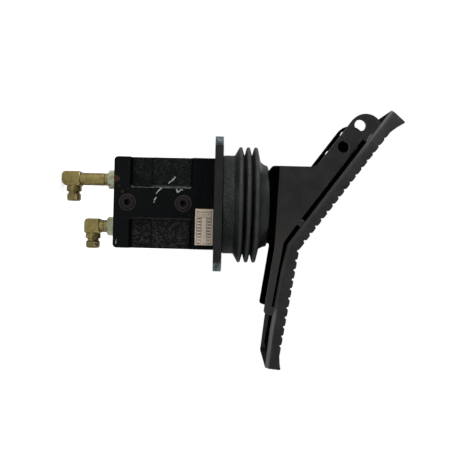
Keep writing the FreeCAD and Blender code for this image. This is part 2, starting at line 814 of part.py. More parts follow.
def elbow_lock_nuts():
    top = -body_height - washer_thickness
    return Part.makeCompound([hex_nut(nut_flats, thread_radius, x, 0, top - nut_height, top)
                              for x in (-bore_x, bore_x)])


def elbow_washers():
    return Part.makeCompound([washer(washer_radius, thread_radius, x, 0, -body_height - washer_thickness,
                                     -body_height) for x in (-bore_x, bore_x)])


def elbow_o_rings():
    return Part.makeCompound([seal_ring(thread_radius + o_ring_radius, o_ring_radius, x, 0,
                                    -body_height + o_ring_radius) for x in (-bore_x, bore_x)])


def base_plate():
    half = base_length / 2
    plate = slab([(-half, cam_top, base_edge_radius), (half, cam_top, base_edge_radius), (half, base_top, 0),
                  (-half, base_top, 0)], -bracket_width / 2, bracket_width / 2)
    return plate.cut([upright(screw_radius + screw_hole_gap, x, y, cam_top - over, base_top + over)
                      for x, y in base_screw_places()])


def base_screws():
    return Part.makeCompound([socket_screw(x, y, base_top, base_screw_length)
                              for x, y in base_screw_places()])


def side_plate(side):
    """One side of the pedal bracket, from the ear past the base plate to the heel strip."""
    y0 = min(side * inner_half, side * bracket_width / 2)
    y1 = max(side * inner_half, side * bracket_width / 2)
    left = -base_length / 2
    slope = math.radians(toe_angle)
    ear_edge = -ear_centre_depth - ear_radius
    root = (bend_x + ear_edge * math.sin(slope) - left) / math.cos(slope)
    strip_end = strip_length + strip_end_lean
    corners = [
        (left, base_top, 0), (*heel_point(strip_root_place, -strip_root_depth), strip_root_round),
        (*heel_point(strip_length, -strip_end_depth), strip_end_round),
        (*heel_point(strip_end, -plate_under), 0),
        (*heel_point(strip_end - strip_tab_length, -plate_under), 0),
        (*heel_point(strip_end - strip_tab_length, -relief_depth), 0),
        (*bend_point(-relief_depth), relief_bend_round),
        (*toe_point(weld_tab_start, -relief_depth), 0), (*toe_point(weld_tab_start, -plate_under), 0),
        (*toe_point(weld_tab_end, -plate_under), 0), (*toe_point(weld_tab_end, -relief_depth), 0),
        (*toe_point(wide_relief_start, -relief_depth), 0),
        (*toe_point(wide_relief_start, -wide_relief_depth), 0),
        (*toe_point(ear_tab_start, -wide_relief_depth), 0), (*toe_point(ear_tab_start, -plate_under), 0),
        (*toe_point(ear_centre_place, -plate_under), 0), (*toe_point(ear_centre_place, ear_edge), 0),
        (*toe_point(root, ear_edge), ear_root_round)]
    ear_x, ear_z = toe_point(ear_centre_place, -ear_centre_depth)
    ear = crosswise(ear_radius, ear_x, ear_z, y0, y1)
    far = toe_length + 2 * ear_radius
    over_plate = slab([(*toe_point(0, -plate_under), 0), (*toe_point(far, -plate_under), 0),
                       (*toe_point(far, tread_depth), 0), (*toe_point(0, tread_depth), 0)],
                      y0 - over, y1 + over)
    plate = slab(corners, y0, y1).fuse(ear.cut(over_plate))
    cuts = [block(left - over, -left, y0 - over, y1 + over, cam_top, base_top)]
    for i in (0, 1):
        hole_x, hole_z = toe_point(ear_hole_place - i * ear_hole_spacing, -ear_hole_depth)
        cuts.append(crosswise(ear_hole_radius, hole_x, hole_z, y0 - over, y1 + over))
    return plate.cut(cuts).removeSplitter()


def pedal_plate():
    """Bent steel plate inside the tread."""
    half = tread_width / 2 - tread_wall - slip_gap
    toe_end = toe_length + toe_flare_length - tread_wall - plate_end_gap
    heel_end = heel_length + heel_flare_length - tread_wall - plate_end_gap
    return slab([(*toe_point(toe_end, -web_depth), 0), (*bend_point(-web_depth), plate_bend_outside),
                 (*heel_point(heel_end, -web_depth), 0), (*heel_point(heel_end, -plate_under), 0),
                 (*bend_point(-plate_under), plate_bend_inside), (*toe_point(toe_end, -plate_under), 0)],
                -half, half)


def groove(point, along, step):
    """The four corners of one tread groove, met in the direction of the step."""
    side = step * rib_groove
    floor = step * rib_groove_floor
    return [(*point(along - side, 0), rib_edge), (*point(along - floor, -rib_height), 0),
            (*point(along + floor, -rib_height), 0), (*point(along + side, 0), rib_edge)]


def tread_pad():
    """Rubber tread: a ribbed face with side skirts and flared ends, hollow to take the pedal plate."""
    toe_end = toe_length + toe_flare_length
    heel_end = heel_length + heel_flare_length
    first = toe_length - first_rib_inset
    face = [(*toe_point(toe_end + toe_end_lean, -tread_depth), tread_edge),
            (*toe_point(toe_end, toe_flare_rise), tread_edge), (*toe_point(toe_length, 0), flare_root_round)]
    for i in range(toe_ribs):
        face += groove(toe_point, first - i * rib_pitch, -1)
    face.append((*bend_point(0), crest_round))
    for i in range(heel_ribs):
        face += groove(heel_point, heel_first_rib + i * heel_rib_pitch, 1)
    face += [(*heel_point(heel_length, 0), flare_root_round),
             (*heel_point(heel_end, heel_flare_rise), tread_edge),
             (*heel_point(heel_end + heel_end_lean, -heel_end_depth), tread_edge),
             (*heel_point(skirt_taper_start, -tread_depth), skirt_taper_round),
             (*bend_point(-tread_depth), skirt_bend_round)]
    tread = slab(face, -tread_width / 2, tread_width / 2, bevel=True)
    inner = tread_width / 2 - tread_wall
    deep = -3 * tread_depth
    hollow = slab([(*toe_point(toe_end - tread_wall, -web_depth), 0),
                   (*bend_point(-web_depth), plate_bend_outside),
                   (*heel_point(heel_end - tread_wall, -web_depth), 0),
                   (*heel_point(heel_end - tread_wall, deep), 0), (*bend_point(deep), 0),
                   (*toe_point(toe_end - tread_wall, deep), 0)], -inner, inner)
    return tread.cut(hollow)


parts = {
    "valve_body": valve_body(),
    "gallery_plugs": gallery_plugs(),
    "plug_o_rings": plug_o_rings(),
    "ball_plug": ball_plug(),
    "nameplate": nameplate(),
    "nameplate_rivets": nameplate_rivets(),
    "mounting_plate": mounting_plate(),
    "pivot_bracket": pivot_bracket(),
    "bracket_cap_screws": cap_screws(),
    "pivot_pin": pivot_pin(),
    "pivot_set_screw": pivot_set_screw(),
    "boot": boot(),
    "rocker_cam": rocker_cam(),
    "cam_bushes": cam_bushes(),
    "adjusting_screws": adjusting_screws(),
    "adjusting_nuts": adjusting_nuts(),
    "toe_elbow": elbow(-bore_x, toe_arm, toe_back),
    "heel_elbow": elbow(bore_x, heel_arm, heel_back),
    "elbow_lock_nuts": elbow_lock_nuts(),
    "elbow_washers": elbow_washers(),
    "elbow_o_rings": elbow_o_rings(),
    "base_plate": base_plate(),
    "base_screws": base_screws(),
    "near_side_plate": side_plate(-1),
    "far_side_plate": side_plate(1),
    "pedal_plate": pedal_plate(),
    "tread_pad": tread_pad(),
}
for end, x in (("toe", -bore_x), ("heel", bore_x)):
    parts[end + "_push_rod"] = push_rod(x)
    parts[end + "_rod_guide"] = rod_guide(x)
    parts[end + "_guide_o_ring"] = guide_o_ring(x)
    parts[end + "_rod_wiper"] = rod_wiper(x)
    parts[end + "_spring_seat"] = spring_seat(x)
    parts[end + "_return_spring"] = return_spring(x)
    parts[end + "_metering_spring"] = metering_spring(x)
    parts[end + "_spool"] = spool(x)
    parts[end + "_spool_collar"] = spool_collar(x)

os.makedirs("parts", exist_ok=True)
for name, shape in parts.items():
    shape.exportStep("parts/" + name + ".step")
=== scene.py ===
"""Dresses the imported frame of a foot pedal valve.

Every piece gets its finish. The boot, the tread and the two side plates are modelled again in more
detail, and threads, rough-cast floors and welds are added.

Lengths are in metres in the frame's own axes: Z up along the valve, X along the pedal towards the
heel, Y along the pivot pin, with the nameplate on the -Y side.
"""
import json
import math

import bmesh
import bpy
from bpy.props import FloatProperty, FloatVectorProperty, IntProperty, PointerProperty
from mathutils import Matrix, Vector, noise
from mathutils.geometry import tessellate_polygon

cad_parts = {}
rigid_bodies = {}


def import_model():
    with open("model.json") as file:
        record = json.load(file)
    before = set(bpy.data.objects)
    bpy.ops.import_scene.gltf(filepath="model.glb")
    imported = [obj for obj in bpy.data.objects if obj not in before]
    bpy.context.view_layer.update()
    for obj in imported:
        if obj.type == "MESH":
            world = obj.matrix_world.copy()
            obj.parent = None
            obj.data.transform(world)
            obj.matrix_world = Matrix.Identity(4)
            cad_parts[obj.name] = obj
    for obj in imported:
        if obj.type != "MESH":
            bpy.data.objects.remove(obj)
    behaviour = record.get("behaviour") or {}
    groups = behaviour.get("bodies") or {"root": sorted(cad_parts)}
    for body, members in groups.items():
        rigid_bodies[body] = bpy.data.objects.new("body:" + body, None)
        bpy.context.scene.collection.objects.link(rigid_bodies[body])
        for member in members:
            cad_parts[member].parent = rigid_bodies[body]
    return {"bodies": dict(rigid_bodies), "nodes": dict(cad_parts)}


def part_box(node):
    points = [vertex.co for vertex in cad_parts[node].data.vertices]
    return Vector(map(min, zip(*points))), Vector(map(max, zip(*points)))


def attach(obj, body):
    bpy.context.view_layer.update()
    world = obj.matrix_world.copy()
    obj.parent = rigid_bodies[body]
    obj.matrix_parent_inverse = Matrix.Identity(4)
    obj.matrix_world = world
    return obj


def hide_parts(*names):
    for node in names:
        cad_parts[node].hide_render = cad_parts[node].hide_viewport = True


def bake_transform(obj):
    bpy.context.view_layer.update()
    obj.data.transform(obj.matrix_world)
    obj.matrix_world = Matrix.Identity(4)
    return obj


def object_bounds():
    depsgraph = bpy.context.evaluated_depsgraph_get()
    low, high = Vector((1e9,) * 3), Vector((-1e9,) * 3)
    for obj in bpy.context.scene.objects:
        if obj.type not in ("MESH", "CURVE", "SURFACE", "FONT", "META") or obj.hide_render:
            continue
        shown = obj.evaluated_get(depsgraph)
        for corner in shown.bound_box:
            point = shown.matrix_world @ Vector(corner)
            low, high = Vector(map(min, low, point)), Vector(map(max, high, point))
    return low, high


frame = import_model()

bl_info = {
    "name": "Foot Pedal Valve",
    "version": (1, 0, 0),
    "blender": (4, 5, 0),
    "location": "3D View > Sidebar > Pedal Valve",
    "description": "Finishes, rubber boot, ribbed tread, threads, welds and studio of a foot pedal valve",
    "category": "Object",
}

CAD_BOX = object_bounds()
MM = 0.001

# Places taken from the frame
BODY_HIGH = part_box("valve_body")[1]
PLATE_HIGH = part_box("mounting_plate")[1]
BOOT_LOW, BOOT_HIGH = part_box("boot")
BASE_LOW, BASE_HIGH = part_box("base_plate")
SIDE_LOW, SIDE_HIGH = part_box("near_side_plate")
TREAD_LOW, TREAD_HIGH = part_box("tread_pad")
LABEL_LOW, LABEL_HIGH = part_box("nameplate")
ELBOW_BOXES = {"toe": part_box("toe_elbow"), "heel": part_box("heel_elbow")}
OUTLET_LEVELS = {"toe": 12.0 * MM, "heel": 8.4 * MM}
FACE_Y = BODY_HIGH.y

# Rough-cast recesses in the body's broad faces
BAND_HALF = 15 * MM
RECESS_TOP = -24 * MM
RECESS_STEP = -63.7 * MM
RECESS_FOOT = -84.5 * MM
RECESS_DEPTH = 3.5 * MM
STEP_DEPTH = 1.2 * MM

# Ports and plugs
PORT_LEVELS = (-88 * MM, -31.6 * MM)
PORT_X = 25 * MM
THREAD_RADIUS = 7.15 * MM
PLUG_RADIUS = 7.7 * MM

# Pale rings about each gallery plug, partly painted rim highlights and partly reddish grime: radius and half
# width in millimetres, and strength
PLUG_RINGS = ((7.5, 0.3, 0.9), (5.1, 0.5, 0.8), (3.6, 0.35, 0.45))
OUTLET_THREAD = (17.4 * MM, 22.2 * MM)
PORT_THREAD = (FACE_Y - 11 * MM, FACE_Y - 2.4 * MM)

# The spool's share of the push rod's stroke
SPOOL_SHARE = 0.363

# Pedal line: the tread's crest bends once, and each half is a straight run with a flared end
BEND_X = 43.7 * MM
BEND_Z = 86.4 * MM
TOE_ANGLE = math.radians(36.4)
HEEL_ANGLE = math.radians(9.24)
TOE_LENGTH = 148.9 * MM
HEEL_LENGTH = 108.3 * MM
TOE_FLARE = 17.4 * MM
HEEL_FLARE = 14 * MM
TOE_RISE = 5.6 * MM
HEEL_RISE = 3.5 * MM
PLATE_UNDER = 9.3 * MM
TOE_TAB = (19 * MM, 25.9 * MM)
EAR_TAB = (128.1 * MM, 135.8 * MM)
HEEL_TAB = (61.4 * MM, 71.2 * MM)
WIDE_RELIEF = 98.9 * MM
STRIP_ROOT = (4.3 * MM, 24.4 * MM)
STRIP_END = 69.3 * MM
EAR_CENTRE = (135.8 * MM, 20.4 * MM)
EAR_RADIUS = 17 * MM
EAR_HOLES = (137 * MM, 109.4 * MM)
EAR_HOLE_DEPTH = 28 * MM
EAR_HOLE_RADIUS = 6 * MM
EAR_ROOT_ROUND = 12 * MM
STRIP_ROOT_ROUND = 20 * MM
STRIP_END_ROUND = 2.5 * MM
BEND_ROUND = 4 * MM
PLATE_LAP = 0.3 * MM        # the side plates stand this far out over the base plate's side
FAR_EASE = 2.2 * MM         # the far plate's toe reliefs are this much shallower than the near one's

PLEATS = 3

# Marks on the paint: both ends of each stroke as x and z, and its half width, in millimetres
DRIPS = (((-14.8, -53.9), (-11.7, -57.4), 0.8), ((-11.7, -57.4), (-9.4, -58.8), 0.55),
         ((-5.2, -59.0), (-2.9, -60.7), 0.75), ((-1.0, -60.9), (-0.4, -61.1), 0.6),
         ((-20.5, -46.9), (-23.6, -43.2), 0.7), ((-23.6, -43.2), (-26.3, -40.7), 0.9),
         ((-13.7, -38.4), (-11.2, -37.6), 0.9), ((-11.2, -37.6), (-12.2, -35.6), 0.8),
         ((-13.8, -34.6), (-13.5, -32.6), 0.6), ((38.0, -98.2), (42.5, -98.9), 0.4))
RUBS = (((-68.4, 152.3), (-73.9, 156.1), 0.9), ((14.4, 88.9), (11.6, 92.4), 0.7),
        ((9.5, 94.2), (6.2, 96.8), 0.4))

# The point in the pivot's plane that the camera looks at
AIM_X = 20.75 * MM
AIM_Z = 11.2 * MM


def pedal_point(along, height):
    """A point of the pedal's side view at a run from the bend, negative on the toe half."""
    if along < 0:
        return (BEND_X + along * math.cos(TOE_ANGLE) + height * math.sin(TOE_ANGLE),
                BEND_Z - along * math.sin(TOE_ANGLE) + height * math.cos(TOE_ANGLE))
    if along > 0:
        return (BEND_X + along * math.cos(HEEL_ANGLE) + height * math.sin(HEEL_ANGLE),
                BEND_Z - along * math.sin(HEEL_ANGLE) + height * math.cos(HEEL_ANGLE))
    middle = (TOE_ANGLE + HEEL_ANGLE) / 2
    reach = height / math.cos((TOE_ANGLE - HEEL_ANGLE) / 2)
    return BEND_X + reach * math.sin(middle), BEND_Z + reach * math.cos(middle)


def length(name, description, millimetres):
    """A length setting."""
    return FloatProperty(name=name, description=description, default=millimetres * MM, min=0,
                         unit="LENGTH", subtype="DISTANCE")


class ValveSizes(bpy.types.PropertyGroup):
    """Sizes of the pieces that are modelled here."""

    relief_toe: length("Toe Relief", "Crest line to the side plates on the toe half", 17.3)
    relief_heel: length("Heel Relief", "From the crest line to the heel strips", 16.6)
    relief_wide: length("Ear Relief", "Crest line to the side plates by the ears", 18.5)
    strip_depth: length("Strip Depth", "From the crest line to the heel strip's end", 23.4)
    edge_round: length("Edge Round", "Rounding of machined and sheared edges", 0.4)
    boot_turns: IntProperty(name="Boot Segments", description="Segments round the boot", default=144, min=24)
    collar_height: length("Collar Height", "Height of the boot's lower collar", 12.6)
    collar_radius: length("Collar Radius", "Outer radius of the boot's collar", 52.4)
    valley_radius: length("Valley Radius", "Radius at the bottom of the pleats", 52.9)
    pleat_pitch: length("Pleat Pitch", "Distance from one pleat to the next", 7.95)
    first_pleat: length("First Pleat", "Height of the first pleat over the plate", 18.1)
    neck_radius: length("Neck Radius", "Outer radius of the boot's neck", 43.6)
    neck_start: length("Neck Start", "Height of the neck's root over the plate", 39.6)
    boot_wall: length("Boot Wall", "Thickness of the boot's rubber", 2.9)
    pleat_round: length("Pleat Round", "Radius of the pleats' blunt edges", 1.9)
    boot_shift: length("Boot Shift", "How far the boot sits off its axis, to the toe", 1.2)
    neck_slant: length("Neck Slant", "How much wider the neck is at its root", 2.6)
    neck_over: length("Neck Rise", "The neck's end over the packed boot's end", 1.2)
    toe_pitch: length("Toe Rib Pitch", "From rib to rib on the toe half", 9.35)
    heel_pitch: length("Heel Rib Pitch", "From rib to rib on the heel half", 9.7)
    rib_depth: length("Rib Depth", "Depth of the grooves between ribs", 1.8)
    toe_first: length("First Toe Groove", "From the toe flare to the first groove", 7.95)
    heel_first: length("First Heel Groove", "From the bend to the first groove", 1.6)
    toe_grooves: IntProperty(name="Toe Grooves", description="Grooves on the toe half", default=15)
    heel_grooves: IntProperty(name="Heel Grooves", description="Grooves on the heel half", default=11)
    skirt_depth: length("Skirt Depth", "From the crest line to the skirt's edge", 14.3)
    heel_depth: length("Heel Depth", "Skirt depth at the heel end", 12.2)
    skirt_slant: length("Skirt Slant", "Height of the slanted face at the skirt's edge", 2.2)
    skirt_wall: length("Skirt Wall", "Thickness of the tread's skirts", 3)
    web_depth: length("Web Depth", "From the crest line to the pedal plate", 5.3)
    thread_pitch: length("Thread Pitch", "Pitch of the port and outlet threads", 1.41)
    thread_rise: length("Thread Rise", "Height of the thread's ridge", 0.32)
    bead_radius: length("Weld Bead", "Radius of the fillet weld beads", 1.5)
    cast_grain: length("Cast Grain", "Height of the rough-cast grain", 0.42)


def colour(name, description, value):
    """A colour setting."""
    return FloatVectorProperty(name=name, description=description, default=value, size=3, min=0, max=1,
                               subtype="COLOR")


class ValveColours(bpy.types.PropertyGroup):
    """Colours of the finishes, in linear light."""

    gloss_paint: colour("Gloss Paint", "Blue-black paint on the cast body", (0.0012, 0.0024, 0.0028))
    toe_dust: colour("Toe Dust", "Greenish dust in the toe side's recess", (0.0150, 0.0195, 0.0190))
    heel_dust: colour("Heel Dust", "Purple-grey dust in the heel side's recess", (0.0460, 0.0410, 0.0455))
    # Partly a painted rim highlight and partly reddish grime round each gallery plug
    plug_ring_grime_and_highlight: colour("Ring Dust", "Thin pale rim round each gallery plug", (0.070, 0.052, 0.046))
    # Painted highlight on the recess ledges; the same colour also marks pale dust specks
    ledge_highlight_and_dust: colour("Ledge Dust", "Pale dust on the recess ledges", (0.17, 0.18, 0.17))
    chip_paint: colour("Paint Drips", "White paint marks on the body", (0.62, 0.64, 0.62))
    rust: colour("Rust", "Bare iron at chips", (0.085, 0.030, 0.022))
    plate_paint: colour("Plate Paint", "Satin black of the mounting plate", (0.0145, 0.0143, 0.0150))
    bracket_paint: colour("Bracket Paint", "Satin black of the pedal bracket", (0.0185, 0.0200, 0.0200))
    bracket_warm: colour("Bracket Warm", "Warm clouds in the bracket's paint", (0.0270, 0.0235, 0.0255))
    bracket_dust: colour("Bracket Dust", "Dust on the bracket", (0.0520, 0.0470, 0.0430))
    # Pale wear, and the painted highlight on the side plates' downward-facing edges
    pale_wear_and_highlight: colour("Pale Wear", "Pale flecks and rubbed edges", (0.20, 0.20, 0.19))
    boot_rubber: colour("Boot Rubber", "Rubber of the boot", (0.0155, 0.0185, 0.0180))
    tread_rubber: colour("Tread Rubber", "Rubber of the tread", (0.0205, 0.0215, 0.0200))
    rubber_dust: colour("Rubber Dust", "Dust on the rubber", (0.115, 0.118, 0.110))
    # Painted highlight on the tread skirts' slanted edges
    skirt_edge_highlight: colour("Pale Rubber", "Chalky rubber on the skirts' slanted edges", (0.165, 0.150, 0.158))
    zinc_gold: colour("Zinc Gold", "Bright part of the yellow zinc", (0.46, 0.37, 0.130))
    # Brown stains of the zinc, and the painted shade on the elbows' flanks
    zinc_brown_and_shade: colour("Zinc Brown", "Brown part of the yellow zinc", (0.17, 0.095, 0.034))
    zinc_green: colour("Zinc Green", "Greenish zinc of the lock nuts", (0.66, 0.70, 0.46))
    label_metal: colour("Label Metal", "Bare metal of the nameplate", (0.90, 0.755, 0.585))
    label_warm: colour("Label Warm", "Lit end of the nameplate", (1.0, 0.86, 0.66))
    label_ink: colour("Label Ink", "Ruled lines of the nameplate", (0.050, 0.040, 0.032))
    bright_steel: colour("Bright Steel", "Ground steel", (0.52, 0.52, 0.54))
    bronze: colour("Bronze", "Sintered bronze", (0.50, 0.34, 0.14))
    floor: colour("Floor", "Pale studio floor", (0.86, 0.86, 0.86))


class StudioSettings(bpy.types.PropertyGroup):
    """Camera and lamps."""

    distance: FloatProperty(name="Camera Distance", description="From the camera to the pivot's plane",
                            default=0.575, unit="LENGTH", subtype="DISTANCE")
    lens: FloatProperty(name="Lens", description="Focal length in millimetres", default=42.78)
    roll: FloatProperty(name="Camera Roll", description="Lean of the object in the picture",
                        default=math.radians(1.4), unit="ROTATION", subtype="ANGLE")
    key_power: FloatProperty(name="Key Lamp", description="Power of the key lamp in watts", default=6.0)
    fill_power: FloatProperty(name="Fill Lamps", description="Power of each fill lamp in watts", default=2.5)
    ambient: FloatProperty(name="Ambient", description="Strength of the room behind the object", default=0.7)
    camera_side: FloatProperty(name="Camera Side", description="Strength of the room behind the camera",
                               default=0.06)
    floor_glow: FloatProperty(name="Floor Glow", description="Lift of the floor's white for the camera",
                              default=0.68)


def sizes():
    return bpy.context.scene.valve_sizes


def colours():
    return bpy.context.scene.valve_colours


class Finish:
    """A node material, with short calls that add nodes to it."""

    def __init__(self, name, metallic=0.0, specular=0.5):
        self.material = bpy.data.materials.new(name)
        self.material.use_nodes = True
        self.tree = self.material.node_tree
        self.shader = self.tree.nodes["Principled BSDF"]
        self.shader.inputs["Metallic"].default_value = metallic
        self.shader.inputs["Specular IOR Level"].default_value = specular
        self.place = self.node("ShaderNodeTexCoord").outputs["Object"]
        parts = self.node("ShaderNodeSeparateXYZ", {"Vector": self.place})
        self.x, self.y, self.z = parts.outputs

    def node(self, kind, inputs=None, **settings):
        """A new node with its own settings, and its inputs given as values or links."""
        made = self.tree.nodes.new(kind)
        for name, value in settings.items():
            setattr(made, name, value)
        for key, value in (inputs or {}).items():
            self.put(made.inputs[key], value)
        return made

    def put(self, socket, value):
        """Links a socket to another, or sets it to a colour or a number."""
        if isinstance(value, bpy.types.NodeSocket):
            self.tree.links.new(value, socket)
        elif socket.type == "RGBA":
            socket.default_value = (*value, 1)
        else:
            socket.default_value = value

    def math(self, operation, a, b=0.0, clamp=False):
        """The result of a math node."""
        return self.node("ShaderNodeMath", {0: a, 1: b}, operation=operation, use_clamp=clamp).outputs[0]

    def vector(self, operation, a, b, result=0):
        """The vector that a vector node gives, or with "Value" its number."""
        return self.node("ShaderNodeVectorMath", {0: a, 1: b}, operation=operation).outputs[result]

    def product(self, *values):
        """All the values multiplied."""
        result = values[0]
        for value in values[1:]:
            result = self.math("MULTIPLY", result, value)
        return result

    def either(self, *values):
        """The largest of the values."""
        result = values[0]
        for value in values[1:]:
            result = self.math("MAXIMUM", result, value)
        return result

    def step(self, value, start, end, low=0.0, high=1.0):
        """Rises smoothly from low to high as the value goes from start to end."""
        if start > end:
            start, end, low, high = end, start, high, low
        made = self.node("ShaderNodeMapRange", {"Value": value, "From Min": start, "From Max": end,
                                                "To Min": low, "To Max": high})
        made.interpolation_type = "SMOOTHSTEP"
        return made.outputs["Result"]

    def band(self, value, low, high, soft):
        """1 between low and high, with soft edges."""
        return self.product(self.step(value, low - soft, low + soft),
                            self.step(value, high + soft, high - soft))

    def noise(self, size, detail=3.0, roughness=0.55, stretch=(1, 1, 1), seed=0.0):
        """Soft noise from 0 to 1, with blotches of about that size, stretched along an axis on wish."""
        scaled = self.node("ShaderNodeMapping", {"Vector": self.place,
                                                 "Location": (seed, seed * 0.7, seed * 1.3),
                                                 "Scale": tuple(1 / (size * s) for s in stretch)})
        made = self.node("ShaderNodeTexNoise", {"Vector": scaled.outputs[0], "Scale": 1.0, "Detail": detail,
                                                "Roughness": roughness})
        return made.outputs[0]

    def cells(self, size, seed=0.0):
        """Distance inside cells of about that size."""
        scaled = self.node("ShaderNodeMapping", {"Vector": self.place, "Location": (seed, seed, seed),
                                                 "Scale": (1 / size,) * 3})
        made = self.node("ShaderNodeTexVoronoi", {"Vector": scaled.outputs[0], "Scale": 1.0})
        return made.outputs["Distance"]

    def mix(self, factor, a, b):
        """One colour turning into another as the factor goes from 0 to 1."""
        made = self.node("ShaderNodeMix", data_type="RGBA")
        for index, value in ((0, factor), (6, a), (7, b)):
            self.put(made.inputs[index], value)
        return made.outputs[2]

    def away(self, x, z):
        """Distance of a point from an upright line along Y through x, z."""
        dx = self.math("SUBTRACT", self.x, x)
        dz = self.math("SUBTRACT", self.z, z)
        return self.math("SQRT", self.math("ADD", self.product(dx, dx), self.product(dz, dz)))

    def ring(self, x, z, radius, half):
        """A ring about a line along Y."""
        off = self.math("ABSOLUTE", self.math("SUBTRACT", self.away(x, z), radius))
        return self.step(off, half, half * 0.4)

    def ragged(self, distance, size, reach):
        """A distance that noise of that size carries up and down over that reach."""
        wander = self.math("MULTIPLY", self.math("SUBTRACT", self.noise(size, detail=4), 0.5), reach)
        return self.math("ADD", distance, wander)

    def spot(self, x, z, radius):
        """A ragged blot about a line along Y."""
        return self.step(self.ragged(self.away(x, z), 1.5 * MM, radius * 1.4), radius, radius * 0.72)

    def stroke(self, start, end, half):
        """A ragged stroke across the side view, from one x, z to another."""
        run = Vector((end[0] - start[0], 0, end[1] - start[1]))
        flat = self.vector("MULTIPLY", self.place, (1, 0, 1))
        off = self.vector("SUBTRACT", flat, (start[0], 0, start[1]))
        along = self.vector("DOT_PRODUCT", off, tuple(run / run.length_squared), "Value")
        share = self.math("MAXIMUM", self.math("MINIMUM", along, 1.0), 0.0)
        foot = self.node("ShaderNodeVectorMath", {0: tuple(run), "Scale": share}, operation="SCALE")
        miss = self.vector("DISTANCE", off, foot.outputs[0], "Value")
        return self.step(self.ragged(miss, 1.1 * MM, half * 1.6), half, half * 0.6)

    def strokes(self, marks):
        """Ragged strokes, each given as its two ends and its half width in millimetres."""
        return self.either(*[self.stroke((a[0] * MM, a[1] * MM), (b[0] * MM, b[1] * MM), half * MM)
                             for a, b, half in marks])

    def edge_mask(self, radius):
        """1 on convex and concave edges, from the turn of the surface within that radius."""
        soft = self.node("ShaderNodeBevel", {"Radius": radius}, samples=4).outputs[0]
        flat = self.node("ShaderNodeNewGeometry").outputs["Normal"]
        return self.step(self.vector("DOT_PRODUCT", soft, flat, "Value"), 0.995, 0.9)

    def facing(self, axis):
        """How far the surface looks along an axis, from -1 to 1."""
        normal = self.node("ShaderNodeNewGeometry").outputs["Normal"]
        return self.vector("DOT_PRODUCT", normal, axis, "Value")

    def bump(self, height, distance, strength=1.0, after=None):
        """Adds relief to the surface; the height goes from 0 to 1 over that distance."""
        inputs = {"Height": height, "Distance": distance, "Strength": strength}
        if after is not None:
            inputs["Normal"] = after
        return self.node("ShaderNodeBump", inputs).outputs[0]

    def finish(self, base, roughness, normal=None):
        """Fills in the shader and gives the finished material."""
        self.put(self.shader.inputs["Base Color"], base)
        self.put(self.shader.inputs["Roughness"], roughness)
        if normal is not None:
            self.put(self.shader.inputs["Normal"], normal)
        return self.material


